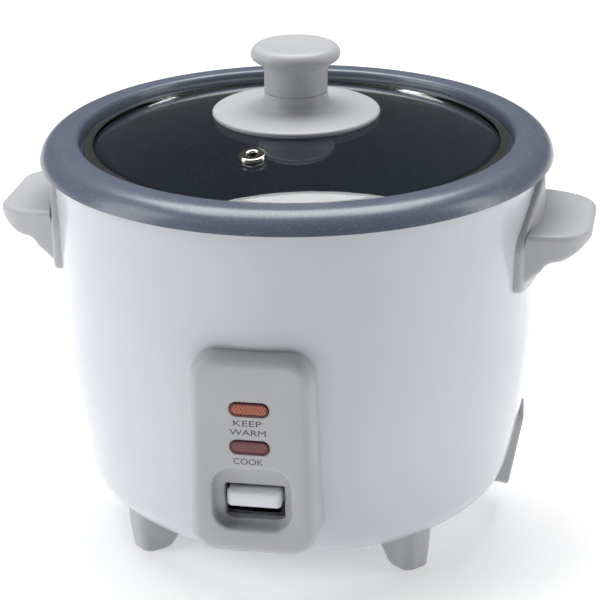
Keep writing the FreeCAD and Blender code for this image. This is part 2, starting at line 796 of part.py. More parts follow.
def lens(z):
    """A crowned window with a flange behind the panel's face."""
    face_y = panel_face_y - lens_proud
    window = stadium(lens_w, lens_h, lens_x, z, face_y, panel_wall + 0.5)
    window = window.makeFillet(lens_flange_t, [e for e in window.Edges if e.BoundBox.YMax < face_y + near])
    flange = stadium(lens_w + 2 * lens_flange, lens_h + 2 * lens_flange, lens_x, z,
                     panel_face_y + panel_wall + same_body_fit, lens_flange_t)
    return solid_of(window.fuse(flange).removeSplitter())


def lamp(z):
    """A small neon lamp lying across the panel, behind its lens."""
    y = -(shell_radius(z) + lamp_cap_r + lamp_gap)
    left, right = lens_x - lamp_half, lens_x + lamp_half
    glass = rod(lamp_r, Vec(left, y, z), Vec(right, y, z))
    cap = rod(lamp_cap_r, Vec(right, y, z), Vec(right + lamp_cap_l, y, z))
    return solid_of(glass.fuse(cap).removeSplitter())


# ---- heating plate and its fixings ----
def element_path(grow):
    sweep = 360 - element_gap_deg
    start = Vec(element_ring_r, 0, element_z)
    circle = Part.Wire(Part.makeCircle(element_r + grow, start, Vec(0, 1, 0)))
    tube = Part.Face(circle).revolve(Vec(0, 0, 0), Vec(0, 0, 1), sweep)
    # the gap is centred on the back
    tube.rotate(Vec(0, 0, 0), Vec(0, 0, 1), 90 + element_gap_deg / 2)
    body = solid_of(tube)
    for azimuth in terminal_azimuths:
        spot = polar(element_ring_r, azimuth, 0)
        body = body.fuse(disc(element_r + grow, terminal_top_z - grow, element_z, spot.x, spot.y))
        body = body.fuse(Part.makeSphere(element_r + grow, Vec(spot.x, spot.y, element_z)))
    return solid_of(body.removeSplitter())


def heating_plate():
    low = element_z - element_r - element_cover
    inner, outer = element_ring_r - element_rib_half, element_ring_r + element_rib_half
    cut = plate_chamfer
    plate = turned([
        rz(plate_hole_r, plate_bottom_z), rz(inner - cut, plate_bottom_z), rz(inner, low), rz(outer, low),
        rz(outer + cut, plate_bottom_z), rz(plate_r - cut, plate_bottom_z),
        rz(plate_r, plate_bottom_z + cut), rz(plate_r, plate_top_z - cut), rz(plate_r - cut, plate_top_z),
        rz(plate_hole_r, plate_top_z)])
    plate = plate.cut(element_path(same_body_fit))
    for azimuth in post_azimuths:
        plate = plate.cut(hole(polar(post_ring_r, azimuth, plate_bottom_z), Vec(0, 0, 1), 6))
    return solid_of(plate)


def element_terminals():
    pins = []
    for azimuth in terminal_azimuths:
        spot = polar(element_ring_r, azimuth, 0)
        pins.append(disc(terminal_r, terminal_top_z - terminal_l, terminal_top_z, spot.x, spot.y))
    return Part.makeCompound(pins)


def terminal_beads():
    beads = []
    top = terminal_top_z - bead_gap
    for azimuth in terminal_azimuths:
        spot = polar(element_ring_r, azimuth, 0)
        bead = disc(bead_r, top - bead_l, top, spot.x, spot.y)
        beads.append(bead.cut(disc(terminal_r + same_body_fit, 0, liner_floor_z, spot.x, spot.y)))
    return Part.makeCompound(beads)


def plate_posts():
    posts = []
    for azimuth in post_azimuths:
        spot = polar(post_ring_r, azimuth, 0)
        post = disc(post_r, liner_inside_z, plate_bottom_z, spot.x, spot.y)
        posts.append(post.cut(disc(screw_r + same_body_fit, 0, plate_top_z, spot.x, spot.y)))
    return Part.makeCompound(posts)


def plate_screws():
    screws = []
    for azimuth in post_azimuths:
        screws.append(screw(polar(post_ring_r, azimuth, liner_floor_z), Vec(0, 0, 1),
                            plate_bottom_z + 5 - liner_floor_z))
    return Part.makeCompound(screws)


# ---- thermostat ----
def coil_spring(mean_r, wire_r, z0, z1, turns):
    """A round-wire helix whose wire stays between z0 and z1."""
    height = z1 - z0 - 2 * wire_r
    pitch = height / turns
    helix = Part.makeHelix(pitch, height, mean_r)
    helix.translate(Vec(0, 0, z0 + wire_r))
    centre = Vec(mean_r, 0, z0 + wire_r)
    along = Vec(0, 2 * math.pi * mean_r, pitch)
    # two half circles keep the wire's faces from closing on themselves
    profile = Part.Wire([Part.makeCircle(wire_r, centre, along, 0, 180),
                         Part.makeCircle(wire_r, centre, along, 180, 360)])
    return solid_of(Part.Wire(helix).makePipeShell([profile], True, True))


def thermostat_sleeve():
    inner = sleeve_r - sleeve_wall
    cup = disc(sleeve_r, sleeve_bottom_z, sleeve_top_z)
    cup = cup.cut(disc(inner, sleeve_bottom_z + sleeve_floor, sleeve_top_z))
    cup = cup.fuse(ring(inner + sleeve_wall / 2, sleeve_r + sleeve_flange, liner_floor_z - 1, liner_floor_z))
    cup = cup.cut(disc(rod_r + running_fit, sleeve_bottom_z - 1, sleeve_bottom_z + 2))
    return solid_of(cup.removeSplitter())


def sensor_cap():
    cap = disc(cap_outer_r, cap_skirt_z, plate_top_z)
    cap = cap.makeFillet(cap_edge_r, [e for e in cap.Edges if e.BoundBox.ZMin > plate_top_z - near])
    cap = cap.fuse(disc(cap_lip_r, cap_skirt_z, cap_skirt_z + 1.0))
    return solid_of(cap.cut(disc(cap_inner_r, cap_skirt_z - 1, ferrite_top_z)).removeSplitter())


def ferrite_disc():
    core = disc(ferrite_r, ferrite_bottom_z, ferrite_top_z)
    return core.cut(disc(ferrite_pocket_r, ferrite_bottom_z - 1, ferrite_bottom_z + ferrite_pocket))


def permanent_magnet():
    magnet = disc(magnet_r, magnet_bottom_z, magnet_top_z)
    circles = [e for e in magnet.Edges if e.Curve.TypeId == "Part::GeomCircle"]
    magnet = magnet.makeFillet(magnet_edge_r, circles)
    return magnet.cut(disc(rod_r + same_body_fit, magnet_bottom_z - 1, magnet_top_z + 1))


def pull_rod():
    shaft = disc(rod_r, rod_bottom_z, magnet_top_z)
    collar = disc(collar_r, collar_z, collar_z + collar_t)
    washer = disc(rod_r + rod_washer_w, magnet_bottom_z - rod_washer_t, magnet_bottom_z)
    return solid_of(shaft.fuse(collar).fuse(washer).removeSplitter())


# ---- cook switch ----
def cross_rod(r, reach):
    """A rod along X through the lever's pivot."""
    return rod(r, Vec(-reach, lever_pivot_y, lever_pivot_z), Vec(reach, lever_pivot_y, lever_pivot_z))


def lever_arm():
    half, t = lever_w / 2, lever_t
    low, tip = lever_top_z - t, lever_tip_z
    front = paddle_front_y + lever_grip
    bend = paddle_front_y + paddle_depth + lever_bend_gap
    outline = Part.makePolygon([Vec(-half, y, z) for y, z in (
        (lever_tail, low), (lever_tail, lever_top_z), (bend + lever_bend, lever_top_z),
        (bend, tip + t), (front, tip + t), (front, tip), (bend - 1, tip), (bend + lever_bend - 1, low),
        (lever_tail, low))])
    arm = Part.Face(outline).extrude(Vec(lever_w, 0, 0))
    arm = arm.fuse(cross_rod(lever_boss_r, half)).cut(cross_rod(pin_r + running_fit, lever_w))
    fork = rod_r + body_gap
    arm = arm.cut(box(-fork, fork, 0, lever_w, low - 1, lever_top_z + 1))
    arm = arm.cut(disc(fork, low - 1, lever_top_z + 1))
    return solid_of(arm.removeSplitter())


def cook_paddle():
    half = paddle_w / 2
    low = lever_tip_z + lever_t / 2 - paddle_h / 2
    bar = box(-half, half, paddle_front_y, paddle_front_y + paddle_depth, low, low + paddle_h)
    bar = bar.makeFillet(paddle_edge_r, [e for e in bar.Edges if e.BoundBox.YMax < paddle_front_y + near])
    fit = same_body_fit
    slot = box(-lever_w / 2 - fit, lever_w / 2 + fit, paddle_front_y + lever_grip - fit, 0,
               lever_tip_z - fit, lever_tip_z + lever_t + fit)
    return solid_of(bar.cut(slot))


def lever_bracket():
    """A bent steel bracket under the liner: two ears for the pin, the right one carrying the switch."""
    top = liner_floor_z
    back, front = lever_pivot_y + bracket_back, lever_pivot_y - bracket_front
    ear_low = lever_pivot_z - bracket_drop
    bracket = box(-ear_outer, ear_outer, front, back, top - bracket_t, top)
    bracket = bracket.fuse(box(-ear_outer, -ear_inner, lever_pivot_y - bracket_ear, back, ear_low, top))
    bracket = bracket.fuse(box(ear_inner, ear_outer, front, back, switch_low_z, top))
    bracket = bracket.cut(cross_rod(pin_r + same_body_fit, 2 * ear_outer))
    return solid_of(bracket.removeSplitter())


def pivot_pin():
    return cross_rod(pin_r, ear_inner + bracket_t + pin_overhang - bracket_gap)


def switch_body():
    block = box(-lever_w / 2, ear_inner, switch_y - switch_half, switch_y + switch_half,
                switch_low_z, switch_top_z)
    block = block.makeFillet(0.6, [e for e in block.Edges if e.BoundBox.XMax < 0])
    well = rod(pin_r + running_fit, Vec(0, switch_y, switch_top_z - switch_well),
               Vec(0, switch_y, switch_top_z + 1))
    return solid_of(block.cut(well))


def switch_plunger():
    low = switch_top_z - switch_well + switch_drop + body_gap
    button = rod(pin_r, Vec(0, switch_y, low), Vec(0, switch_y, button_top_z))
    return button.makeFillet(0.5, [e for e in button.Edges if e.BoundBox.ZMin > button_top_z - near])


# ---- power inlet ----
def inlet_blades(grow=0.0):
    """Three flat blades: two in line and one earth blade offset, in the inlet's frame."""
    blades = []
    back = -inlet_depth - blade_tail
    places = ((blade_row_y, blade_pitch), (blade_row_y, -blade_pitch), (blade_earth_y, 0.0))
    for y, z in places:
        blades.append(box(back, -blade_front, y - blade_t / 2 - grow, y + blade_t / 2 + grow,
                          z - blade_w / 2 - grow, z + blade_w / 2 + grow))
    return blades


def power_inlet():
    block = inlet_block()
    block = block.makeFillet(inlet_face_edge_r, [e for e in block.Edges if e.BoundBox.XMin > -near])
    half_w, half_h = inlet_w / 2 - inlet_wall, inlet_h / 2 - inlet_wall_end
    cut = inlet_chamfer
    recess = rounded_outline(
        [(-half_w, cut - half_h), (cut - half_w, -half_h), (half_w, -half_h), (half_w, half_h),
         (cut - half_w, half_h), (-half_w, half_h - cut)],
        [1, 1, 1.5, 1.5, 1, 1], in_yz(-inlet_recess_depth)).extrude(Vec(inlet_recess_depth + 1, 0, 0))
    block = block.cut(recess)
    for blade in inlet_blades(same_body_fit):
        block = block.cut(blade)
    return solid_of(placed(block, inlet_frame()))


def inlet_pins():
    return Part.makeCompound([placed(blade, inlet_frame()) for blade in inlet_blades()])


def inlet_clip():
    """A spring-steel frame behind the shell that locks the inlet in its hole."""
    back = clip_back - inlet_depth
    slab = box(back - clip_t, back, -inlet_w, inlet_w, -inlet_h, inlet_h / 2 - 1)
    frame = inlet_block(clip_rim, inlet_depth).common(slab)
    frame = frame.cut(inlet_block(same_body_fit, inlet_depth + 5))
    return solid_of(placed(frame, inlet_frame()))


# ---- small electrical pieces under the liner ----
def keep_warm_resistor():
    top = resistor_top_z - same_body_fit
    block = box(-resistor_half, resistor_half, *resistor_y, top - resistor_h, top)
    return block.makeFillet(0.8, [e for e in block.Edges if e.BoundBox.XLength > resistor_half])


def resistor_clip():
    half, t = clip_strap_half, clip_strap_t
    front, back = resistor_y[0] - clip_strap_front, resistor_y[1] + 2 * same_body_fit
    low = resistor_top_z - resistor_h - 2 * same_body_fit
    strap = box(-half, half, front, back + t, low - t, liner_floor_z)
    return solid_of(strap.cut(box(-half - 1, half + 1, front - 1, back, low, resistor_top_z)))


def along_fuse(r, x0, x1):
    return rod(r, Vec(x0, fuse_y, fuse_z), Vec(x1, fuse_y, fuse_z))


def thermal_fuse():
    x0, x1 = fuse_x
    wires = along_fuse(fuse_wire_r, x0 - fuse_wire_l, x1 + fuse_wire_l)
    return solid_of(along_fuse(fuse_r, x0, x1).fuse(wires).removeSplitter())


def fuse_clip():
    x0, x1 = fuse_x[0] + fuse_band_inset, fuse_x[1] - fuse_band_inset
    band = along_fuse(fuse_r + fuse_band_t, x0, x1).cut(along_fuse(fuse_r + same_body_fit, *fuse_x))
    tab = box(x0, x1, fuse_y + fuse_tab_y[0], fuse_y + fuse_tab_y[1],
              liner_floor_z - fuse_band_t, liner_floor_z)
    tab = tab.cut(along_fuse(fuse_r + fuse_band_t / 2, *fuse_x))
    return solid_of(band.fuse(tab).removeSplitter())


def lead(points):
    """An insulated wire: straight runs joined by tangent arcs as large as the runs allow."""
    edges = []
    here = points[0]
    for i in range(1, len(points) - 1):
        corner = points[i]
        back, ahead = points[i - 1] - corner, points[i + 1] - corner
        reach = lead_bend * min(back.Length, ahead.Length)
        half = back.getAngle(ahead) / 2
        u, v = Vec(back).normalize(), Vec(ahead).normalize()
        radius = reach * math.tan(half)
        start, stop = corner + u * reach, corner + v * reach
        middle = corner + (u + v).normalize() * (radius / math.sin(half) - radius)
        edges += [line(here, start), Part.Arc(start, middle, stop).toShape()]
        here = stop
    edges.append(line(here, points[-1]))
    section = Part.Wire(Part.makeCircle(lead_r, points[0], points[1] - points[0]))
    return solid_of(Part.Wire(edges).makePipeShell([section], True, False))


# ---- pot ----
def pot_path(g):
    """The pot's inner surface for g = 0, and its outer surface for g = the wall."""
    roll = pot_flange_r - pot_flange_flat_r
    edge, bend = pot_edge_r, pot_bend_r
    mouth_z = pot_rim_z - edge
    return [
        arc_rz(pot_flange_flat_r, pot_rim_z - roll, roll - g, flange_lip_angle, 90),
        arc_rz(pot_mouth_r + edge, mouth_z, edge - g, 90, 180),
        arc_rz(pot_mouth_r - bend, lid_ledge_z + bend, bend + g, 0, -90),
        arc_rz(pot_wall_r + edge, lid_ledge_z - edge, edge - g, 90, 180),
        arc_rz(pot_wall_r - pot_corner_r, pot_floor_z + pot_corner_r, pot_corner_r + g, 0, -90),
        rz(0, pot_floor_z - g)]


def inner_pot():
    inside = join(pot_path(0.0))
    outside = join(pot_path(pot_wall))
    lip = line(ends(inside[0])[0], ends(outside[0])[0])
    axis = line(rz(0, pot_floor_z), rz(0, pot_floor_z - pot_wall))
    wire = Part.Wire(Part.__sortEdges__(inside + outside + [lip, axis]))
    return solid_of(Part.Face(wire).revolve(Vec(0, 0, 0), Vec(0, 0, 1), 360))


# ---- lid ----
def dome_arc(radius_from, radius_to, below):
    r = lid_dome_r - below
    a0 = math.degrees(math.acos(radius_from / r))
    a1 = math.degrees(math.acos(radius_to / r))
    return arc_rz(0, dome_centre_z, r, a0, a1)


def lid_glass():
    under_r = math.sqrt((lid_dome_r - lid_glass_t) ** 2 - (glass_bottom_z - dome_centre_z) ** 2)
    glass = turned([
        dome_arc(0, dome_edge_r, 0), rz(glass_edge_r, glass_edge_z), rz(glass_edge_r, glass_bottom_z),
        dome_arc(under_r, 0, lid_glass_t)])
    glass = glass.cut(disc(knob_screw_r + 1.5, ring_bottom_z, knob_seam_z))
    return solid_of(glass.cut(vent_rod(eyelet_neck_r + same_body_fit, -4 * lid_glass_t, 4 * lid_glass_t)))


def lid_rim():
    top = glass_edge_z + same_body_fit + ring_wall
    inner = ring_r - ring_leg
    rim = ring(inner, ring_r, ring_bottom_z, top)
    outer_edges = [e for e in rim.Edges if e.Curve.TypeId == "Part::GeomCircle"
                   and abs(e.Curve.Radius - ring_r) < near]
    groove = ring(inner - 1, glass_edge_r + same_body_fit, glass_bottom_z - same_body_fit,
                  glass_edge_z + same_body_fit)
    return solid_of(rim.makeFillet(ring_edge_r, outer_edges).cut(groove))


def vent_frame():
    """The eyelet's place on the dome and the way out of the glass there."""
    spot = polar(vent_radius_pos, vent_azimuth, dome_z(vent_radius_pos))
    return spot, (spot - Vec(0, 0, dome_centre_z)).normalize()


def vent_rod(r, low, high):
    spot, way = vent_frame()
    return rod(r, spot + way * low, spot + way * high)


def vent_eyelet():
    """A riveted tube: a rounded flange over the glass, the neck, and a curled lip under it."""
    top = vent_rod(eyelet_r, same_body_fit, eyelet_t)
    bottom = vent_rod(eyelet_curl_r, -lid_glass_t - 1.1, -lid_glass_t - 0.1)
    neck = vent_rod(eyelet_neck_r, -lid_glass_t - 1.0, 1.0)
    circles = [e for e in top.Edges if e.Curve.TypeId == "Part::GeomCircle"]
    eyelet = top.makeFillet(eyelet_edge_r, [max(circles, key=lambda e: e.Curve.Center.z)])
    eyelet = eyelet.fuse(neck).fuse(bottom).removeSplitter()
    return solid_of(eyelet.cut(vent_rod(eyelet_hole_r, -4 * lid_glass_t, 4 * lid_glass_t)))


def knob_base():
    top_z = dome_z(knob_disc_r, -knob_seat) + knob_disc_t
    flare = knob_flare_r
    soft = 0.3
    cone_z = knob_seam_z - flare - 1.0
    base = turned([
        dome_arc(0, knob_disc_r - 0.6, -knob_seat),
        arc_rz(knob_disc_r - 1.0, top_z - 1.0, 1.0, 0, 80),
        arc_rz(knob_neck_r + flare, cone_z + flare, flare, -96, -180),
        rz(knob_neck_r, knob_seam_z - soft), rz(knob_neck_r - soft, knob_seam_z), rz(0, knob_seam_z)])
    return solid_of(base.cut(disc(knob_screw_r + same_body_fit, glass_bottom_z, knob_top_z)))


def knob_cap():
    """A mushroom cap: the neck flares from the throat to the widest part, under a flat rounded top."""
    low = knob_seam_z + same_body_fit
    soft = 0.3
    widest_z = knob_top_z - knob_edge_r
    throat = rz(knob_neck_r, widest_z - knob_throat)
    under = rz(knob_cap_r - 1.7, widest_z - 2.4)
    cap = turned([
        rz(0, low), rz(knob_neck_r - soft, low), rz(knob_neck_r, low + soft),
        Part.Arc(throat, rz(knob_neck_r + 1.2, widest_z - 3.8), under).toShape(),
        Part.Arc(under, rz(knob_cap_r - 0.25, widest_z - 1.1), rz(knob_cap_r, widest_z)).toShape(),
        arc_rz(knob_cap_r - knob_edge_r, widest_z, knob_edge_r, 0, 90),
        rz(0, knob_top_z)])
    return solid_of(cap.cut(disc(knob_screw_r + same_body_fit, low - 1, knob_seam_z + 12)))


def knob_stack():
    """Heights of the pieces under the glass: seal, washer, screw head."""
    seal_top = dome_z(knob_washer_r, lid_glass_t) - same_body_fit
    washer_top = seal_top - knob_seal_t
    return seal_top, washer_top, washer_top - knob_washer_t


def knob_seal():
    seal_top, washer_top, _ = knob_stack()
    return ring(knob_screw_r + body_gap, knob_washer_r, washer_top, seal_top)


def knob_washer():
    _, washer_top, head_top = knob_stack()
    return ring(knob_screw_r + body_gap, knob_washer_r - 1.5, head_top, washer_top)


def knob_screw():
    _, _, head_top = knob_stack()
    return screw(Vec(0, 0, head_top), Vec(0, 0, 1), knob_seam_z + 10 - head_top, 4.0, 2.4, knob_screw_r)


# ---- leads: each from one terminal to the next, in the space over the base plate ----
def lead_routes():
    """Each lead leaves its terminal straight, and keeps low over the base plate."""
    frame = inlet_frame()
    tail = -inlet_depth - blade_tail
    tabs = [frame.multVec(Vec(tail - reach, blade_row_y, z)) for z in (blade_pitch, -blade_pitch)
            for reach in (same_body_fit, 9.0)]
    pin_end_z = terminal_top_z - terminal_l
    pins = [polar(element_ring_r, azimuth, pin_end_z - drop) for azimuth in terminal_azimuths
            for drop in (same_body_fit, 10.0)]
    switch_z = switch_low_z + 5
    right_face = ear_outer + same_body_fit
    left_face = -lever_w / 2 - same_body_fit
    low = foot_height + 6
    return {
        "lead_live": [tabs[0], tabs[1], Vec(42, 24, low + 10), Vec(28, 38, low + 7), pins[1], pins[0]],
        "lead_neutral": [tabs[2], tabs[3], Vec(46, -20, low), Vec(35, -42, low), Vec(25, -60, low + 2),
                         Vec(right_face + 9, switch_y, switch_z), Vec(right_face, switch_y, switch_z)],
        "lead_switch": [Vec(left_face, switch_y, switch_z), Vec(left_face - 11, switch_y, switch_z),
                        Vec(-33, -58, low + 2), Vec(-44, -36, low), Vec(-47, -8, low), Vec(-42, 20, low + 2),
                        Vec(-28, 40, low + 6), pins[3], pins[2]]}


def build():
    os.makedirs("parts", exist_ok=True)
    save("outer_shell", outer_shell())
    save("inner_liner", inner_liner())
    save("base_plate", base_plate())
    for name, azimuth in foot_azimuths.items():
        save("foot_" + name, foot(azimuth))
    save("foot_screws", foot_screws())
    right = handle_right()
    save("handle_right", right)
    save("handle_left", solid_of(mirrored_x(right)))
    save("handle_screws", handle_screws())
    save("control_panel", control_panel())
    save("panel_screws", panel_screws())
    save("keep_warm_lens", lens(keep_warm_z))
    save("cook_lens", lens(cook_z))
    save("keep_warm_lamp", lamp(keep_warm_z))
    save("cook_lamp", lamp(cook_z))
    save("heating_plate", heating_plate())
    save("heating_element", element_path(0.0))
    save("element_terminals", element_terminals())
    save("terminal_beads", terminal_beads())
    save("plate_posts", plate_posts())
    save("plate_screws", plate_screws())
    save("thermostat_sleeve", thermostat_sleeve())
    save("sensor_cap", sensor_cap())
    save("ferrite_disc", ferrite_disc())
    save("sensor_spring", coil_spring(cap_outer_r + 2 * spring_gap, sensor_wire_r,
                                      liner_inside_z + spring_gap, cap_skirt_z - spring_gap, sensor_turns))
    save("permanent_magnet", permanent_magnet())
    save("pull_rod", pull_rod())
    save("magnet_spring", coil_spring(magnet_coil_r, magnet_wire_r, magnet_top_z + spring_gap,
                                      ferrite_bottom_z + ferrite_pocket - spring_gap, magnet_turns))
    save("lever_arm", lever_arm())
    save("cook_paddle", cook_paddle())
    save("lever_bracket", lever_bracket())
    save("pivot_pin", pivot_pin())
    save("switch_body", switch_body())
    save("switch_plunger", switch_plunger())
    save("power_inlet", power_inlet())
    save("inlet_pins", inlet_pins())
    save("inlet_clip", inlet_clip())
    save("keep_warm_resistor", keep_warm_resistor())
    save("resistor_clip", resistor_clip())
    save("thermal_fuse", thermal_fuse())
    save("fuse_clip", fuse_clip())
    for name, route in lead_routes().items():
        save(name, lead(route))
    save("inner_pot", inner_pot())
    save("lid_glass", lid_glass())
    save("lid_rim", lid_rim())
    save("vent_eyelet", vent_eyelet())
    save("knob_base", knob_base())
    save("knob_cap", knob_cap())
    save("knob_seal", knob_seal())
    save("knob_washer", knob_washer())
    save("knob_screw", knob_screw())


build()
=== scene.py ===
# %% [markdown]
# # A drum rice cooker
# A white enamelled drum holds a dark non-stick pot under a glass lid. The CAD model gives every size and
# every joint. Here the surfaces that people see are modelled again with smooth rings of points, and every
# finish is made from nodes. First the CAD model is loaded.

# %% Load the frame
import bmesh
import bpy
import json
import math
from mathutils import Matrix, Vector


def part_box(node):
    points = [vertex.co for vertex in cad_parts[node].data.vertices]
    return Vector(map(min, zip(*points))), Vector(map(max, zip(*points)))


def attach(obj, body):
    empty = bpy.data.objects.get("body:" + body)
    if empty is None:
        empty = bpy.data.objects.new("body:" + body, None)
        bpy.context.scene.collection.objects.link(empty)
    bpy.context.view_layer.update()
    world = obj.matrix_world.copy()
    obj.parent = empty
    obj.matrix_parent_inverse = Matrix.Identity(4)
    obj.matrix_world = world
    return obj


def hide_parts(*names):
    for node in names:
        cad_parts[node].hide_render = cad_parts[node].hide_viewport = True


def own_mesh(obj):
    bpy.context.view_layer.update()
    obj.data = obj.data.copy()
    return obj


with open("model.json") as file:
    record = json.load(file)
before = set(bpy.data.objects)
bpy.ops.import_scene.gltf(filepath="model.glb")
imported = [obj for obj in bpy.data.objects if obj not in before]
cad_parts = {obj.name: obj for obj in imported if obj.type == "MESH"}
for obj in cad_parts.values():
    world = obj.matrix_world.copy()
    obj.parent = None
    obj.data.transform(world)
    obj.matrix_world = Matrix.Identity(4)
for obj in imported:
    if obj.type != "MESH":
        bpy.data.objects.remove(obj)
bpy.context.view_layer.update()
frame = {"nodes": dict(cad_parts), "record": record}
MM = 0.001

# %% [markdown]
# ## The drum's outline
# The body is a turned shape: a straight wall that leans out a little, a long soft flank, and a tight curve
# into the underside. The panel, the handles and the feet all lie on it, so its radius at a height is worked
# out once, in millimetres, from the same few sizes as the CAD.

# %% The drum's outline
underside = 12.0
rim_z, rim_r = 156.0, 98.2
side_z, side_r = 86.0, 96.5
flank_r = 242.0
corner_r = 21.5
wall = 1.0
taper = math.atan((rim_r - side_r) / (rim_z - side_z))
flank_x = side_r - flank_r * math.cos(taper)
flank_z = side_z + flank_r * math.sin(taper)
corner_turn = math.asin((flank_z - corner_r - underside) / (flank_r - corner_r))
corner_x = flank_x + (flank_r - corner_r) * math.cos(corner_turn)
corner_z = flank_z - (flank_r - corner_r) * math.sin(corner_turn)


def drum_radius(z):
    """Outer radius of the drum at a height."""
    if z >= side_z:
        return side_r + (z - side_z) * math.tan(taper)
    if z >= corner_z - corner_r * math.sin(corner_turn):
        return flank_x + math.sqrt(flank_r ** 2 - (z - flank_z) ** 2)
    return corner_x + math.sqrt(max(corner_r ** 2 - (z - corner_z) ** 2, 0.0))


def drum_underside(r):
    """Height of the drum's underside at a radius."""
    return corner_z - math.sqrt(corner_r ** 2 - max(r - corner_x, 0.0) ** 2)


print("drum radius at the panel's middle:", round(drum_radius(68.0), 2), "mm")

# %% [markdown]
# ## Helpers for shapes
# Most pieces here are either turned or moulded. A turned piece is a profile spun round an axis. A moulded
# one is a loft: rings with the same number of points, each drawn out of the one before, so that a corner's
# roundness is in the rings themselves and the light runs over it without a break. Both start from the
# points of an outline, so the first helpers give arcs, rounded outlines and the steps of a rounded edge.

# %% Outlines of points
def arc(x, z, r, start, stop, steps=10):
    """Points on an arc of a profile, by angle above the horizontal."""
    turns = [math.radians(start + (stop - start) * i / steps) for i in range(steps + 1)]
    return [(x + r * math.cos(t), z + r * math.sin(t)) for t in turns]


def rounded(half_low, half_high, low, high, corner, per_corner=7, per_side=8):
    """Points round a rounded trapezium in (u, v), always the same number, from the lower left corner."""
    points = []
    centres = [(-half_low + corner, low + corner, 180), (half_low - corner, low + corner, 270),
               (half_low - corner, high - corner, 0), (-half_low + corner, high - corner, 90)]
    for i, (u, v, start) in enumerate(centres):
        points += arc(u, v, corner, start, start + 90, per_corner)
        ahead = centres[(i + 1) % 4]
        stop = arc(ahead[0], ahead[1], corner, ahead[2], ahead[2] + 90, 1)[0]
        here = points[-1]
        for k in range(1, per_side):
            s = k / per_side
            points.append((here[0] + (stop[0] - here[0]) * s, here[1] + (stop[1] - here[1]) * s))
    lean = (half_high - half_low) / half_low
    return [(u * (1 + lean * (v - low) / (high - low)), v) for u, v in points]


def quarter(steps=6):
    """Shares of a quarter round: how far in, and how far along, from the side to the face."""
    turns = [math.pi / 2 * i / steps for i in range(steps + 1)]
    return [(1 - math.cos(t), math.sin(t)) for t in turns]


print("points round a moulded outline:", len(rounded(20, 20, 0, 40, 5)))

# %% [markdown]
# ## From rings to a mesh
# A ring is a closed loop of edges. Extruding its edges gives the next ring the same number of points, and
# moving them into place makes the wall between the two. A turned piece needs one ring only, in the plane
# of its profile, and the spin operator does the rest. Normals are worked out again at the end, because a
# spin or an extrusion can leave them pointing inwards.

# %% Lofts and turned shapes
def add_ring(bm, points):
    """A closed ring of edges through points in millimetres."""
    verts = [bm.verts.new(Vector(p) * MM) for p in points]
    return [bm.edges.new((verts[i - 1], verts[i])) for i in range(len(verts))]


def skin(bm, rings):
    """Extrudes the first ring's edges to each next ring, and returns the first and last ring's edges."""
    first = edges = add_ring(bm, rings[0])
    bm.verts.ensure_lookup_table()
    verts = bm.verts[-len(rings[0]):]
    for ring in rings[1:]:
        grown = bmesh.ops.extrude_edge_only(bm, edges=edges)["geom"]
        fresh = {g for g in grown if isinstance(g, bmesh.types.BMVert)}
        edges = [g for g in grown if isinstance(g, bmesh.types.BMEdge)
                 and g.verts[0] in fresh and g.verts[1] in fresh]
        verts = [next(e.other_vert(v) for e in v.link_edges if e.other_vert(v) in fresh) for v in verts]
        for v, point in zip(verts, ring):
            v.co = Vector(point) * MM
    return first, edges


def lofted(rings):
    """A closed bmesh through rings of points, its two ends filled, facing outwards."""
    bm = bmesh.new()
    for end in skin(bm, rings):
        bmesh.ops.edgeloop_fill(bm, edges=end)
    bmesh.ops.recalc_face_normals(bm, faces=bm.faces)
    return bm


def turned(profile, steps=192):
    """A closed profile of (r, z) points spun round Z."""
    bm = bmesh.new()
    edges = add_ring(bm, [(r, 0, z) for r, z in profile])
    bmesh.ops.spin(bm, geom=bm.verts[:] + edges, cent=(0, 0, 0), axis=(0, 0, 1), angle=math.tau,
                   steps=steps, use_merge=True)
    bmesh.ops.remove_doubles(bm, verts=bm.verts, dist=1e-6)
    bmesh.ops.recalc_face_normals(bm, faces=bm.faces)
    return bm


# %% [markdown]
# ## From a mesh to a piece
# Each piece is an object with its own mesh. Cuts are boolean modifiers that are made part of the mesh at
# once, so that a finished piece has none. A finished piece is shaded smooth except across sharp edges, and
# it is told which moving body it rides and which nodes of the CAD model it stands in for.

# %% Pieces and cuts
def carve(piece, *cutters):
    """Takes the cutters' shapes out of a piece, then removes them."""
    for cutter in cutters:
        cut = piece.modifiers.new("cut", "BOOLEAN")
        cut.operation, cut.solver, cut.object = "DIFFERENCE", "EXACT", cutter
    settle(piece)
    for cutter in cutters:
        bpy.data.objects.remove(cutter)


def settle(piece):
    """Makes a piece's modifiers part of its mesh."""
    seen = piece.evaluated_get(bpy.context.evaluated_depsgraph_get())
    piece.data = bpy.data.meshes.new_from_object(seen)
    piece.modifiers.clear()


def made(name, bm):
    """An object from a bmesh, which is then freed."""
    mesh = bpy.data.meshes.new(name)
    bm.to_mesh(mesh)
    bm.free()
    piece = bpy.data.objects.new(name, mesh)
    bpy.context.scene.collection.objects.link(piece)
    bpy.context.view_layer.update()
    return piece


def stands_for(piece, body, slot, *nodes, sharp=38):
    """Shades a finished piece, gives it its finish, and lets it ride in place of CAD nodes."""
    piece.data.shade_smooth()
    piece.data.set_sharp_from_angle(angle=math.radians(sharp))
    piece.data.materials.clear()
    piece.data.materials.append(finishes[slot])
    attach(piece, body)
    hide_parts(*nodes)
    print(f"{piece.name}: {len(piece.data.polygons)} faces, {finishes[slot].name}")
    return piece


# %% [markdown]
# ## Helpers for finishes
# A finish is a Principled shader and a few patterns. Each pattern's size is a real length, so a grain of
# 0.3 mm looks like 0.3 mm on any piece. Colours are written as the hex values that a paint chart would
# give, and turned to linear light by one function.

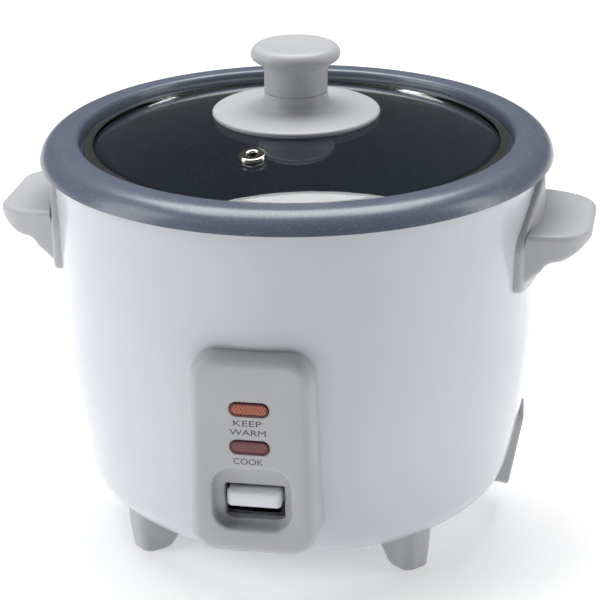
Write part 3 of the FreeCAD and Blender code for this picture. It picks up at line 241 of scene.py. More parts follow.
# %% Finish helpers
def linear(hex_colour):
    """A linear RGBA colour from an sRGB hex value."""
    parts = [int(hex_colour[i:i + 2], 16) / 255 for i in (0, 2, 4)]
    return (*[c / 12.92 if c <= 0.04045 else ((c + 0.055) / 1.055) ** 2.4 for c in parts], 1.0)


def add(tree, kind, inputs, **settings):
    """Adds a node with its settings, and its inputs as values or links."""
    node = tree.nodes.new(kind)
    for name, value in settings.items():
        setattr(node, name, value)
    for name, value in inputs.items():
        if isinstance(value, bpy.types.NodeSocket):
            tree.links.new(value, node.inputs[name])
        else:
            node.inputs[name].default_value = value
    return node


def new_finish(name, **sockets):
    """A material with a Principled shader, and its object coordinates."""
    material = bpy.data.materials.new(name)
    material.use_nodes = True
    tree = material.node_tree
    shader = tree.nodes["Principled BSDF"]
    for socket, value in sockets.items():
        shader.inputs[socket.replace("_", " ")].default_value = value
    place = add(tree, "ShaderNodeTexCoord", {}).outputs["Object"]
    return material, tree, shader, place


def wave_scale(pitch):
    """A wave texture's scale for lines this many millimetres apart: it has 20 radians to a unit."""
    return math.tau / (20 * pitch * MM)


def per_mm(size):
    """A noise scale, in object metres, whose spots are about this many millimetres across."""
    return 1 / (size * MM)


# %% [markdown]
# ## Patterns that every finish shares
# No real surface is one flat colour or one flat gloss. Three small helpers give each finish a drift
# between two close shades, a drift in roughness, and a shallow relief. The relief's height comes from
# noise or from waves.

# %% Pattern helpers
def patchy(tree, shader, place, light, dark, size):
    """Colour that drifts between two close shades."""
    spots = add(tree, "ShaderNodeTexNoise", {"Vector": place, "Scale": per_mm(size), "Detail": 4.0})
    ramp = add(tree, "ShaderNodeValToRGB", {"Fac": spots.outputs["Fac"]})
    ramp.color_ramp.elements[0].position = 0.2
    ramp.color_ramp.elements[1].position = 0.8
    ramp.color_ramp.elements[0].color = linear(dark)
    ramp.color_ramp.elements[1].color = linear(light)
    tree.links.new(ramp.outputs["Color"], shader.inputs["Base Color"])


def uneven_gloss(tree, shader, place, low, high, size):
    """Roughness that drifts between two values."""
    spots = add(tree, "ShaderNodeTexNoise", {"Vector": place, "Scale": per_mm(size), "Detail": 3.0})
    spread = add(tree, "ShaderNodeMapRange", {"Value": spots.outputs["Fac"], "From Min": 0.3,
                                              "From Max": 0.7, "To Min": low, "To Max": high})
    tree.links.new(spread.outputs["Result"], shader.inputs["Roughness"])


def relief(tree, shader, height, depth, strength):
    """Bump from a height of 0 to 1, as deep as depth in millimetres."""
    bump = add(tree, "ShaderNodeBump", {"Height": height, "Distance": depth * MM, "Strength": strength})
    tree.links.new(bump.outputs["Normal"], shader.inputs["Normal"])


def grain(tree, place, size, detail=2.0):
    """The height of a fine random grain."""
    return add(tree, "ShaderNodeTexNoise", {"Vector": place, "Scale": per_mm(size),
                                            "Detail": detail}).outputs["Fac"]


finishes = {}

# %% [markdown]
# ## Enamel on steel
# The drum is pressed steel under a powder enamel. Enamel is hard, white and glossy, and it flows a little
# before it sets, so its reflections waver over a few millimetres. That waver is a shallow bump, under a
# clear coat that keeps the highlights crisp. A flat white with low roughness would look like paper.

# %% White enamel
def white_enamel():
    material, tree, shader, place = new_finish("white_powder_enamel_on_steel", IOR=1.52, Coat_Weight=0.35,
                                               Coat_Roughness=0.04, Coat_IOR=1.5)
    patchy(tree, shader, place, "D4D8DE", "CFD3D9", 30.0)
    uneven_gloss(tree, shader, place, 0.20, 0.27, 18.0)
    relief(tree, shader, grain(tree, place, 5.0, 1.0), 0.02, 0.35)
    return material


finishes["white_enamel"] = white_enamel()
print("finish:", finishes["white_enamel"].name)

# %% [markdown]
# ## Moulded plastics
# The handles, feet, panel and knob are ABS from a mould with a fine spark-eroded skin: satin, pale grey,
# with a grain of a fraction of a millimetre. The grain is drawn at 0.35 mm so that it shows. The switch
# paddle comes from a polished mould, so it is white and glossy, and only its gloss wavers.

# %% Plastics
def moulded(name, light, dark, low, high, skin, depth, **sockets):
    material, tree, shader, place = new_finish(name, IOR=1.5, **sockets)
    patchy(tree, shader, place, light, dark, 24.0)
    uneven_gloss(tree, shader, place, low, high, 9.0)
    relief(tree, shader, grain(tree, place, skin), depth, 0.5)
    return material


finishes["grey_plastic"] = moulded("pale_grey_satin_abs", "C2C3C5", "BBBCBF", 0.36, 0.44, 0.35, 0.02)
finishes["white_plastic"] = moulded("polished_white_abs", "EEF1F5", "E8EBF0", 0.10, 0.16, 6.0, 0.01,
                                    Coat_Weight=0.4, Coat_Roughness=0.03)
finishes["black_plastic"] = moulded("black_phenolic_moulding", "1B1B1D", "141416", 0.45, 0.6, 0.4, 0.03)
print("finishes:", [finishes[s].name for s in ("grey_plastic", "white_plastic", "black_plastic")])

# %% [markdown]
# ## Non-stick pot
# The pot is pressed aluminium with a sprayed non-stick coat: a dark slate grey, a little blue, satin, with
# fine bright flecks of mica in it. The flecks come from small cells, a few of which are lighter than the
# rest. Real ones are finer than 0.7 mm, but then they would not show. The spray leaves a faint
# orange-peel skin.

# %% Non-stick coat
def nonstick():
    material, tree, shader, place = new_finish("blue_black_nonstick_coat", IOR=1.5, Coat_Weight=0.6,
                                               Coat_Roughness=0.24)
    flecks = add(tree, "ShaderNodeTexVoronoi", {"Vector": place, "Scale": per_mm(0.7)})
    bright = add(tree, "ShaderNodeMapRange", {"Value": flecks.outputs["Color"], "From Min": 0.72,
                                              "From Max": 1.0, "To Min": 0.0, "To Max": 0.5})
    drift = add(tree, "ShaderNodeTexNoise", {"Vector": place, "Scale": per_mm(22.0), "Detail": 3.0})
    base = add(tree, "ShaderNodeMix", {"Factor": drift.outputs["Fac"], "A": linear("5C6576"),
                                       "B": linear("656E80")}, data_type="RGBA")
    colour = add(tree, "ShaderNodeMix", {"Factor": bright.outputs["Result"], "A": base.outputs["Result"],
                                         "B": linear("8B94A5")}, data_type="RGBA")
    tree.links.new(colour.outputs["Result"], shader.inputs["Base Color"])
    uneven_gloss(tree, shader, place, 0.30, 0.38, 12.0)
    relief(tree, shader, grain(tree, place, 0.8), 0.02, 0.5)
    return material


finishes["nonstick_pot"] = nonstick()
print("finish:", finishes["nonstick_pot"].name)

# %% [markdown]
# ## Glass
# The lid is toughened soda glass: clear, with a faint grey-green body that shows at its edge, and a dome
# pressed so smoothly that only a very shallow wave moves its reflections.

# %% Glass
def glass(name, tint, other, wave):
    material, tree, shader, place = new_finish(name, IOR=1.5, Transmission_Weight=1.0)
    patchy(tree, shader, place, tint, other, 40.0)
    uneven_gloss(tree, shader, place, 0.0, 0.02, 30.0)
    relief(tree, shader, grain(tree, place, wave, 0.0), 0.01, 0.25)
    return material


finishes["clear_glass"] = glass("toughened_soda_glass", "F4F8F8", "EEF4F4", 25.0)
finishes["lamp_glass"] = glass("lamp_envelope_glass", "F8E8DC", "F2DDD0", 6.0)
print("finishes:", finishes["clear_glass"].name, finishes["lamp_glass"].name)

# %% [markdown]
# ## Metals
# A metal's colour is its reflection, and its making shows in its roughness. Rolled and drawn pieces have
# fine lines along one way: noise that is squeezed across that way and stretched along it. Turned pieces
# have rings round their axis. Plated and cast ones have a fine crystal or sand grain.

# %% Metals
def lined_metal(name, light, dark, low, high, stretch, line_mm):
    """Metal with fine lines: the noise is stretched along one axis."""
    material, tree, shader, place = new_finish(name, Metallic=1.0)
    along = add(tree, "ShaderNodeMapping", {"Vector": place, "Scale": stretch})
    lines = add(tree, "ShaderNodeTexNoise", {"Vector": along.outputs["Vector"], "Scale": per_mm(line_mm),
                                             "Detail": 3.0})
    patchy(tree, shader, place, light, dark, 8.0)
    spread = add(tree, "ShaderNodeMapRange", {"Value": lines.outputs["Fac"], "From Min": 0.3,
                                              "From Max": 0.7, "To Min": low, "To Max": high})
    tree.links.new(spread.outputs["Result"], shader.inputs["Roughness"])
    relief(tree, shader, lines.outputs["Fac"], 0.01, 0.4)
    return material


def grained_metal(name, light, dark, low, high, grain_mm, depth):
    """Metal with a random grain, as plating, sand or crystals leave."""
    material, tree, shader, place = new_finish(name, Metallic=1.0)
    patchy(tree, shader, place, light, dark, grain_mm * 6)
    uneven_gloss(tree, shader, place, low, high, grain_mm * 3)
    relief(tree, shader, grain(tree, place, grain_mm), depth, 0.6)
    return material


def machined_aluminium():
    """A cast plate faced on a lathe: rings round the axis, 0.9 mm apart."""
    material, tree, shader, place = new_finish("faced_cast_aluminium", Metallic=1.0)
    rings = add(tree, "ShaderNodeTexWave", {"Vector": place, "Scale": wave_scale(0.9), "Distortion": 0.4,
                                            "Detail": 2.0}, wave_type="RINGS", rings_direction="Z")
    patchy(tree, shader, place, "C9CACB", "BDBEC0", 12.0)
    spread = add(tree, "ShaderNodeMapRange", {"Value": rings.outputs["Fac"], "To Min": 0.30, "To Max": 0.44})
    tree.links.new(spread.outputs["Result"], shader.inputs["Roughness"])
    relief(tree, shader, rings.outputs["Fac"], 0.02, 0.5)
    return material


finishes["stainless_steel"] = lined_metal("bright_rolled_stainless", "D8D8D6", "C8C8C6", 0.10, 0.20,
                                          (1.0, 1.0, 8.0), 0.5)
finishes["polished_steel"] = grained_metal("polished_nickel_plate", "DCD8D0", "D0CCC4", 0.06, 0.12,
                                           1.5, 0.004)
finishes["aluminised_steel"] = grained_metal("aluminised_steel_sheet", "B9BBBD", "A9ABAD", 0.32, 0.45,
                                             2.0, 0.02)
finishes["zinc_steel"] = grained_metal("zinc_plated_steel", "B4B8BC", "A6AAB0", 0.28, 0.42, 1.2, 0.02)
finishes["spring_steel"] = lined_metal("drawn_spring_steel", "8E9094", "7C7E82", 0.22, 0.36,
                                       (1.0, 1.0, 5.0), 0.3)
finishes["cast_aluminium"] = machined_aluminium()
finishes["brass"] = grained_metal("bright_brass", "D8B66A", "CBA655", 0.16, 0.26, 1.0, 0.008)
print("finishes so far:", len(finishes))

# %% [markdown]
# ## Ceramics, rubber and lenses
# The rest are small: sintered ferrite, unglazed ceramic beads, a silicone seal, and the insulation of the
# leads. The two lenses are clear tinted plastic with a fine diamond pattern moulded in to spread the
# lamp's light. Two sets of straight waves, crossed at an angle, make the diamonds; their lighter and
# darker bands in the colour are painted light and shade, and a faint emission is a painted glow. The
# painted shade round each lens's edge and the ink of the lettering come last.

# %% Ceramics, rubber and lenses
finishes["ferrite"] = moulded("sintered_ferrite", "2C2B2D", "222123", 0.5, 0.65, 0.5, 0.04)
finishes["white_ceramic"] = moulded("unglazed_steatite", "E9E3D3", "DDD6C4", 0.55, 0.7, 0.6, 0.05)
finishes["silicone"] = moulded("grey_silicone_rubber", "C6C6C4", "BBBBB9", 0.5, 0.62, 0.8, 0.03)
finishes["wire_insulation"] = moulded("braided_glass_sleeve", "D6D0B8", "C4BDA4", 0.55, 0.7, 0.5, 0.08)


def tinted_lens(name, light, dark, glow):
    """Clear tinted plastic over a moulded diamond pattern with 1.1 mm between its lines."""
    # The faint emission is a painted glow: the lens lights itself with no lit lamp behind it.
    material, tree, shader, place = new_finish(name, Roughness=0.12, IOR=1.49, Coat_Weight=0.6,
                                               Coat_Roughness=0.03, Emission_Strength=glow)
    heights = []
    for lean in (-32, 32):
        turned_place = add(tree, "ShaderNodeMapping", {"Vector": place,
                                                       "Rotation": (0.0, math.radians(lean), 0.0)})
        waves = add(tree, "ShaderNodeTexWave", {"Vector": turned_place.outputs["Vector"],
                                                "Scale": wave_scale(1.1)}, bands_direction="X")
        heights.append(waves.outputs["Fac"])
    both = add(tree, "ShaderNodeMath", {0: heights[0], 1: heights[1]}, operation="MULTIPLY")
    # The diamonds' lighter and darker bands in the colour are painted light and shade from the facets; the
    # relief below is real.
    ramp = add(tree, "ShaderNodeValToRGB", {"Fac": both.outputs["Value"]})
    ramp.color_ramp.elements[0].color = linear(dark)
    ramp.color_ramp.elements[1].color = linear(light)
    ramp.color_ramp.elements[1].position = 0.75
    tree.links.new(ramp.outputs["Color"], shader.inputs["Base Color"])
    tree.links.new(ramp.outputs["Color"], shader.inputs["Emission Color"])
    relief(tree, shader, both.outputs["Value"], 0.15, 0.5)
    return material


# Each lens's last number is its faint painted glow.
finishes["amber_lens"] = tinted_lens("amber_tinted_lens", "CC641A", "7C2E08", 0.04)
finishes["red_lens"] = tinted_lens("red_tinted_lens", "8C1618", "52090C", 0.03)
# Painted shade: a dark red for the darkness round each lens's edge.
finishes["bezel"] = moulded("dark_red_painted_edge_shade", "5A1618", "4A1014", 0.12, 0.2, 2.0, 0.01)
ink, ink_tree, ink_shader, ink_place = new_finish("grey_pad_printing_ink", IOR=1.5)
patchy(ink_tree, ink_shader, ink_place, "4E4F52", "434447", 3.0)
uneven_gloss(ink_tree, ink_shader, ink_place, 0.35, 0.5, 2.0)
print("finishes in all:", len(finishes) + 1)

# %% [markdown]
# ## Finishes on the CAD pieces
# Pieces whose CAD shape is right stay as they are, and only take the finish of their slot in the record.
# The mesh isn't touched, only what is in its material slots.

# %% Finishes on the CAD pieces
for subpart in frame["record"]["subparts"]:
    node = frame["nodes"][subpart["node"]]
    node.data.materials.clear()
    node.data.materials.append(finishes[subpart["material_slot"]])

# %% [markdown]
# ## The power inlet's place
# The inlet sits low on the right, a little behind the middle, and leans back with the drum's flank. Its
# frame is needed before the drum, because the drum has a hole for it.

# %% The inlet's place
inlet_turn, inlet_lean = math.radians(5.0), math.radians(11.0)
inlet_face_r, inlet_z = 91.3, 30.5
inlet_place = (Matrix.Rotation(inlet_turn, 4, "Z")
               @ Matrix.Translation(Vector((inlet_face_r, 0, inlet_z)) * MM)
               @ Matrix.Rotation(inlet_lean, 4, "Y"))
inlet_half_w, inlet_half_h, inlet_depth, inlet_corner = 11.0, 16.0, 20.0, 2.5
print("inlet face at, mm:", [round(v / MM, 1) for v in inlet_place.translation])


def inlet_ring(x, half_w, half_h, corner):
    return [(x, u, v) for u, v in rounded(half_w, half_w, -half_h, half_h, corner)]


# %% [markdown]
# ## The drum
# The drum is one pressed shell, 1 mm thick. Its profile, outside and then back inside, is spun round the
# axis. The shell has a slot behind the panel for the switch and a hole for the inlet, which are carved out
# with two simple cutters.

# %% The drum
def drum_side(grow):
    """The outside of the drum, grown outwards by grow, from the underside up to the rim."""
    low, high = math.degrees(corner_turn), math.degrees(taper)
    return (arc(corner_x, corner_z, corner_r + grow, -90, -low, 14)
            + arc(flank_x, flank_z, flank_r + grow, -low, -high, 16)[1:]
            + [(rim_r + grow, rim_z)])


drum_hole_r = 58.0
slot_half, slot_low, slot_high = 12.5, 38.5, 54.7
drum_profile = [(drum_hole_r, underside)] + drum_side(0)
drum_profile += list(reversed(drum_side(-wall))) + [(drum_hole_r, underside + wall)]
drum = made("drum_shell", turned(drum_profile, 256))
slot_cutter = made("slot_cutter", lofted(
    [[(u, y, v) for u, v in rounded(slot_half, slot_half, slot_low, slot_high, 0.5)]
     for y in (-110, -70)]))
inlet_cutter = made("inlet_cutter", lofted(
    [inlet_ring(x, inlet_half_w, inlet_half_h, inlet_corner) for x in (-25, 12)]))
inlet_cutter.data.transform(inlet_place)
carve(drum, slot_cutter, inlet_cutter)
stands_for(drum, "cooker_body", "white_enamel", "outer_shell")

# %% [markdown]
# ## The pot
# The pot is one deep-drawn cup. Its rim rolls out and down over the drum, then a step inside holds the
# lid. The inner line is drawn from arcs, and the outer line is the same arcs 1.5 mm further out, so the
# wall is even all the way.

# %% The pot
pot_rim_z, pot_flange_r, pot_flat_r, pot_mouth_r = 166.0, 104.0, 94.15, 88.0
pot_step, pot_wall_r, pot_floor_z, pot_corner_r, pot_wall = 7.3, 82.0, 74.0, 18.0, 1.5
ledge_z = pot_rim_z - pot_step


def pot_line(g):
    """The pot's inner surface for g = 0 and its outer surface for g = the wall, rim to floor."""
    roll = pot_flange_r - pot_flat_r
    edge, bend = 2.0, 1.5
    return (arc(pot_flat_r, pot_rim_z - roll, roll - g, 10, 90, 14)
            + arc(pot_mouth_r + edge, pot_rim_z - edge, edge - g, 90, 180, 8)
            + arc(pot_mouth_r - bend, ledge_z + bend, bend + g, 0, -90, 8)
            + arc(pot_wall_r + edge, ledge_z - edge, edge - g, 90, 180, 8)
            + arc(pot_wall_r - pot_corner_r, pot_floor_z + pot_corner_r, pot_corner_r + g, 0, -90, 12)
            + [(0.0, pot_floor_z - g)])


pot = made("nonstick_inner_pot", turned(pot_line(0) + list(reversed(pot_line(pot_wall))), 256))
stands_for(pot, "pot", "nonstick_pot", "inner_pot")

# %% [markdown]
# ## The glass lid
# The lid is a shallow dome of toughened glass with a flat edge, a hole in the middle for the knob's screw
# and a small hole for the steam vent. The dome is part of one sphere, so both faces are arcs about one
# centre, and the wall is even.

# %% The glass lid
glass_t, lip, sag, dip = 2.5, 3.4, 13.96, 0.86
ring_r, ring_wall, fit, gap = 86.4, 0.55, 0.05, 0.3
ring_low = ledge_z + gap
glass_low = ring_low + ring_wall + fit
glass_edge = glass_low + glass_t
glass_r = ring_r - ring_wall - fit
dome_r = ((glass_r - lip) ** 2 + sag ** 2) / (2 * sag)
dome_z0 = glass_edge + sag - dip - dome_r


def dome_height(r, below=0.0):
    return dome_z0 + math.sqrt((dome_r - below) ** 2 - r ** 2)


def dome_line(start, stop, below, steps=24):
    """Points along the dome from one radius to another, on the outside or that far below it."""
    return [(start + (stop - start) * i / steps, dome_height(start + (stop - start) * i / steps, below))
            for i in range(steps + 1)]


under_r = math.sqrt((dome_r - glass_t) ** 2 - (glass_low - dome_z0) ** 2)
glass_profile = (dome_line(3.5, glass_r - lip, 0.0) + [(glass_r, glass_edge), (glass_r, glass_low)]
                 + dome_line(under_r, 3.5, glass_t))
lid = made("glass_lid", turned(glass_profile, 256))

vent_r, vent_turn = 49.7, math.radians(-9.4)
vent_point = Vector((vent_r * math.sin(vent_turn), -vent_r * math.cos(vent_turn), dome_height(vent_r)))
vent_way = (vent_point - Vector((0, 0, dome_z0))).normalized()
vent_place = Matrix.Translation(vent_point * MM) @ vent_way.to_track_quat("Z", "Y").to_matrix().to_4x4()
vent_cutter = made("vent_cutter", turned([(0, -6), (3.65, -6), (3.65, 6), (0, 6)], 48))
vent_cutter.data.transform(vent_place)
carve(lid, vent_cutter)
stands_for(lid, "lid", "clear_glass", "lid_glass", sharp=25)

# %% [markdown]
# ## The lid's steel rim and its vent
# A strip of stainless steel is rolled round the glass edge into a C. The vent is an eyelet: a tube whose
# two ends are rolled over the glass. Both are spun round Z, and then the eyelet is leant over to stand
# square on the dome.

# %% Rim and vent
ring_high = glass_edge + fit + ring_wall
ring_in = ring_r - 4.0
rim_profile = ([(ring_in, ring_high), (ring_in, ring_high - 0.3)]
               + [(ring_in + 0.3, ring_high - ring_wall), (glass_r + fit - 0.4, ring_high - ring_wall)]
               + [(glass_r + fit, ring_high - ring_wall - 0.4), (glass_r + fit, ring_low + ring_wall + 0.4)]
               + [(glass_r + fit - 0.4, ring_low + ring_wall), (ring_in, ring_low + ring_wall)]
               + [(ring_in, ring_low)]
               + arc(ring_r - 1.2, ring_low + 1.2, 1.2, -90, 0, 6)
               + arc(ring_r - 1.2, ring_high - 1.2, 1.2, 0, 90, 6))
stands_for(made("rolled_steel_rim", turned(rim_profile, 256)), "lid", "stainless_steel", "lid_rim")

eyelet_profile = ([(2.0, -3.4), (2.0, 0.6)] + arc(2.9, 0.6, 0.9, 180, 90, 6) + arc(4.6, 0.6, 0.9, 90, 0, 6)
                  + [(5.5, 0.05), (3.6, 0.05), (3.6, -2.6), (4.9, -2.6)] + arc(4.4, -3.1, 0.5, 0, -90, 4)
                  + [(2.4, -3.6)])
eyelet = made("steam_vent_eyelet", turned(eyelet_profile, 64))
eyelet.data.transform(vent_place)
stands_for(eyelet, "lid", "polished_steel", "vent_eyelet")

# %% [markdown]
# ## The knob
# The knob is two mouldings, one screwed through the glass into the other: a base that spreads into a thin
# disc lying on the dome, and a cap like a mushroom. A fine seam shows where they meet. Both are turned
# shapes. Their rounded edges are arcs, and the throat under the cap is a curve through a few points.

# %% The knob
knob_disc_r, knob_neck_r, knob_cap_r = 33.8, 12.7, 18.0
seam_z, knob_top = 183.0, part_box("knob_cap")[1].z / MM
screw_hole = 2.05
disc_top = dome_height(knob_disc_r, -0.1) + 2.2
base_profile = (dome_line(screw_hole, knob_disc_r - 0.6, -0.1, 12)
                + arc(knob_disc_r - 1.0, disc_top - 1.0, 1.0, -10, 80, 6)
                + arc(knob_neck_r + 5.0, seam_z - 1.0, 5.0, -96, -180, 12)
                + arc(knob_neck_r - 0.3, seam_z - 0.3, 0.3, 0, 90, 3)
                + [(screw_hole, seam_z)])
stands_for(made("knob_base_disc", turned(base_profile, 160)), "lid", "grey_plastic", "knob_base")

cap_low = seam_z + 0.05
cap_edge = 3.9
cap_wide_z = knob_top - cap_edge
throat = [(knob_neck_r, cap_low + 0.3), (knob_neck_r, cap_wide_z - 7.6),
          (knob_neck_r + 0.25, cap_wide_z - 5.6), (knob_neck_r + 1.1, cap_wide_z - 4.0),
          (knob_neck_r + 2.3, cap_wide_z - 3.0), (knob_neck_r + 3.6, cap_wide_z - 2.35),
          (knob_cap_r - 0.7, cap_wide_z - 1.6), (knob_cap_r - 0.15, cap_wide_z - 0.8)]
cap_profile = ([(screw_hole, cap_low + 12), (screw_hole, cap_low), (knob_neck_r - 0.3, cap_low)] + throat
               + arc(knob_cap_r - cap_edge, cap_wide_z, cap_edge, 0, 90, 10)
               + [(knob_cap_r - 7.0, knob_top - 0.12), (5.0, knob_top - 0.4), (0.0, knob_top - 0.4),
                  (0.0, cap_low + 12)])
stands_for(made("knob_cap_moulding", turned(cap_profile, 160)), "lid", "grey_plastic", "knob_cap")

# %% [markdown]
# ## The handles
# Each handle is a thin arched plate on the drum's side, from which a flat tab reaches out and rounds off at
# its tip. The tab is level on top and sweeps up underneath for the fingers. Rings of points run from the
# drum outwards: first the plate, bent to the drum, then narrower rings that follow the tab's plan and
# side. The tab is hollowed from below, as a moulding is to keep its wall even. The left handle is the
# right one mirrored.

# %% The handles
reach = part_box("handle_right")[1].x / MM
handle_top, handle_low, arch_top = 136.5, 112.0, 151.0
root_half, tip_half, tip_round = 32.0, 25.0, 12.0
plate_t, plate_round = 3.0, 1.2
hollow_root_half, hollow_tip_half, tab_roof = 22.0, 20.0, 3.5
root_x = drum_radius(handle_low)
shoulder_z = handle_top - 4.0


def plate_ring(stand_off, inset):
    """The plate's outline, bent to the drum and standing off it."""
    ring = []
    half = root_half - inset
    for y, z in rounded(half, half, handle_low + inset, shoulder_z - inset, 3.0 - inset / 2):
        share = max(z - handle_low - 12.0, 0.0) / (shoulder_z - handle_low - 12.0)
        z += (arch_top - shoulder_z) * min(share, 1.0) ** 2 * (1 - (y / root_half) ** 2)
        ring.append((math.sqrt((drum_radius(z) + stand_off) ** 2 - y ** 2), y, z))
    return ring


def tab_ring(x, half, bend=0.0):
    """A cross-section of the tab; bend moves it from a flat plane onto the plate."""
    rise = math.sqrt(max(1 - max((root_x + 10 - x) / 7, 0.0) ** 2, 0.0))
    low = handle_low + 12.5 * rise + 7.5 * (max(x - root_x - 10, 0.0) / (reach - root_x - 10)) ** 1.8
    high = handle_top - 1.2 * (x - root_x) / (reach - root_x)
    nose = max((x - reach + 2.5) / 2.5, 0.0)
    high -= 2.3 * (1 - math.sqrt(max(1 - nose ** 2, 0.0)))
    ring = []
    for y, z in rounded(half, half, low, high, min(2.2, (high - low) * 0.48)):
        flat, bent = x, math.sqrt((drum_radius(z) + plate_t + 0.3) ** 2 - y ** 2)
        ring.append((bent if bend else flat, y, z))
    return ring


def plan_half(x):
    """Half the tab's width, from its straight flanks into its round tip."""
    straight = root_half - (root_half - tip_half) * (x - root_x + 4) / (reach - root_x + 4)
    into_tip = max(x - (reach - tip_round), 0.0)
    return straight - tip_round + math.sqrt(max(tip_round ** 2 - into_tip ** 2, 0.0))


tab_stations = [root_x + d for d in (5.0, 5.8, 6.8, 8.2, 10.0, 12.0)]
tab_stations += [reach - tip_round + tip_round * math.sin(math.radians(t)) for t in range(10, 91, 8)]
tab_stations[-1] = reach
handle_rings = [plate_ring(fit, 0.0), plate_ring(plate_t - plate_round, 0.0)]
handle_rings += [plate_ring(plate_t - plate_round * (1 - up), plate_round * inwards)
                 for inwards, up in quarter(4)[1:]]
handle_rings.append(tab_ring(root_x + 3.3, plan_half(root_x + 3.3), bend=1.0))
handle_rings += [tab_ring(x, plan_half(x)) for x in tab_stations]
for side, mirror in (("right", 1), ("left", -1)):
    handle = made("handle_" + side + "_moulding", lofted(handle_rings))
    hollow_plan = rounded(hollow_root_half, hollow_tip_half, -6.0, reach - root_x - 17.0, 5.0)
    hollow = made("hollow", lofted([[(root_x + 14.0 + v, u, z) for u, v in hollow_plan]
                                    for z in (105.0, handle_top - tab_roof)]))
    carve(handle, hollow)
    if mirror < 0:
        bm = bmesh.new()
        bm.from_mesh(handle.data)
        bmesh.ops.scale(bm, vec=(-1, 1, 1), verts=bm.verts)
        bmesh.ops.reverse_faces(bm, faces=bm.faces)
        bm.to_mesh(handle.data)
        bm.free()
    stands_for(handle, "cooker_body", "grey_plastic", "handle_" + side)

# %% [markdown]
# ## The control panel
# The panel is a hollow moulding on the front of the drum, a little wider at the bottom, with a soft 5 mm
# edge. A well near its bottom holds the switch. The front is one skin of rings: from the drum forward,
# round the edge, in across the face, round the well's lip, down its wall and across its floor to the
# switch's window. The face is filled between those rings and the rims of the two lens holes, which stay
# open. Solidify then gives the whole skin its wall, which is simpler than drawing the inside as well.

# %% The control panel
panel_face = -103.6
panel_low, panel_high, panel_half_low, panel_half_high = 26.0, 109.5, 25.4, 24.2
panel_corner, panel_edge, panel_wall = 11.0, 5.0, 2.2
well_half, well_low, well_high, well_corner, well_depth = 15.5, 37.2, 63.0, 8.0, 6.1
window_half, window_low, window_high = 11.75, 39.3, 53.9


def panel_ring(y, inset):
    corner = panel_corner - inset
    return [(u, y, v) for u, v in rounded(panel_half_low - inset, panel_half_high - inset,
                                          panel_low + inset, panel_high - inset, corner)]


def well_ring(y, outset):
    return [(u, y, v) for u, v in rounded(well_half + outset, well_half + outset, well_low - outset,
                                          well_high + outset, well_corner + outset)]


def window_ring(y, outset):
    return [(u, y, v) for u, v in rounded(window_half + outset, window_half + outset, window_low - outset,
                                          window_high + outset, 0.8)]


drum_ring = [(x, -math.sqrt((drum_radius(z) + fit) ** 2 - x ** 2), z) for x, _, z in panel_ring(0, 0)]
lip_round, floor_round = 1.2, 2.0
well_floor = panel_face + well_depth
panel_rings = [drum_ring]
panel_rings += [panel_ring(panel_face + panel_edge * (1 - up), panel_edge * inwards)
                for inwards, up in quarter(8)]
well_rings = [well_ring(panel_face + lip_round * inwards, lip_round * (1 - up))
              for inwards, up in quarter(4)]
well_rings += [well_ring(well_floor - floor_round * (1 - up), -floor_round * inwards)
               for inwards, up in quarter(4)]
well_rings += [window_ring(well_floor, 0.4), window_ring(well_floor + 0.4, 0.0),
               window_ring(well_floor + 4.4, 0.0)]
lens_x, lens_half_w, lens_half_h = -0.4, 7.6, 2.8
lens_heights = {"keep_warm": 88.0, "cook": 72.3}


def lens_ring(y, z, outset):
    return [(lens_x + u, y, z + v) for u, v in
            rounded(lens_half_w + outset, lens_half_w + outset, -lens_half_h - outset,
                    lens_half_h + outset, (lens_half_h + outset) * 0.96)]


bm = bmesh.new()
edges = skin(bm, panel_rings)[-1] + skin(bm, well_rings)[0]
for z in lens_heights.values():
    edges += skin(bm, [lens_ring(panel_face, z, 0.45), lens_ring(panel_face + 0.3, z, 0.15),
                       lens_ring(panel_face + 0.6, z, 0.12)])[0]
bmesh.ops.triangle_fill(bm, use_beauty=True, edges=edges)
bmesh.ops.recalc_face_normals(bm, faces=bm.faces)
face = min(bm.faces, key=lambda f: f.calc_center_median().y)
if face.normal.y > 0:
    bmesh.ops.reverse_faces(bm, faces=bm.faces)
panel = made("control_panel_moulding", bm)
thick = panel.modifiers.new("wall", "SOLIDIFY")
thick.thickness, thick.offset = panel_wall * MM, -1.0
settle(panel)
stands_for(panel, "cooker_body", "grey_plastic", "control_panel", sharp=30)

# %% [markdown]
# ## Lenses
# Each lens is a small crowned bar of tinted plastic with a flange behind the panel. Its rings start at
# the flange and end at the crown. A thin dark bead round each lens is painted shade, for the darkness at
# its edge where too little light comes through.

# %% Lenses
behind_face = panel_face + panel_wall + fit
flange_t, flange_out = 0.8, 1.2
crown_high, crown_round = 0.2, 0.7
for name, z in lens_heights.items():
    crown = [lens_ring(panel_face - crown_high + crown_round * (1 - up), z, -crown_round * inwards)
             for inwards, up in quarter(5)]
    flange = [lens_ring(behind_face + flange_t, z, flange_out), lens_ring(behind_face, z, flange_out),
              lens_ring(behind_face, z, 0.0)]
    lens = made(name + "_window", lofted(flange + crown))
    stands_for(lens, "cooker_body", "amber_lens" if name == "keep_warm" else "red_lens", name + "_lens")


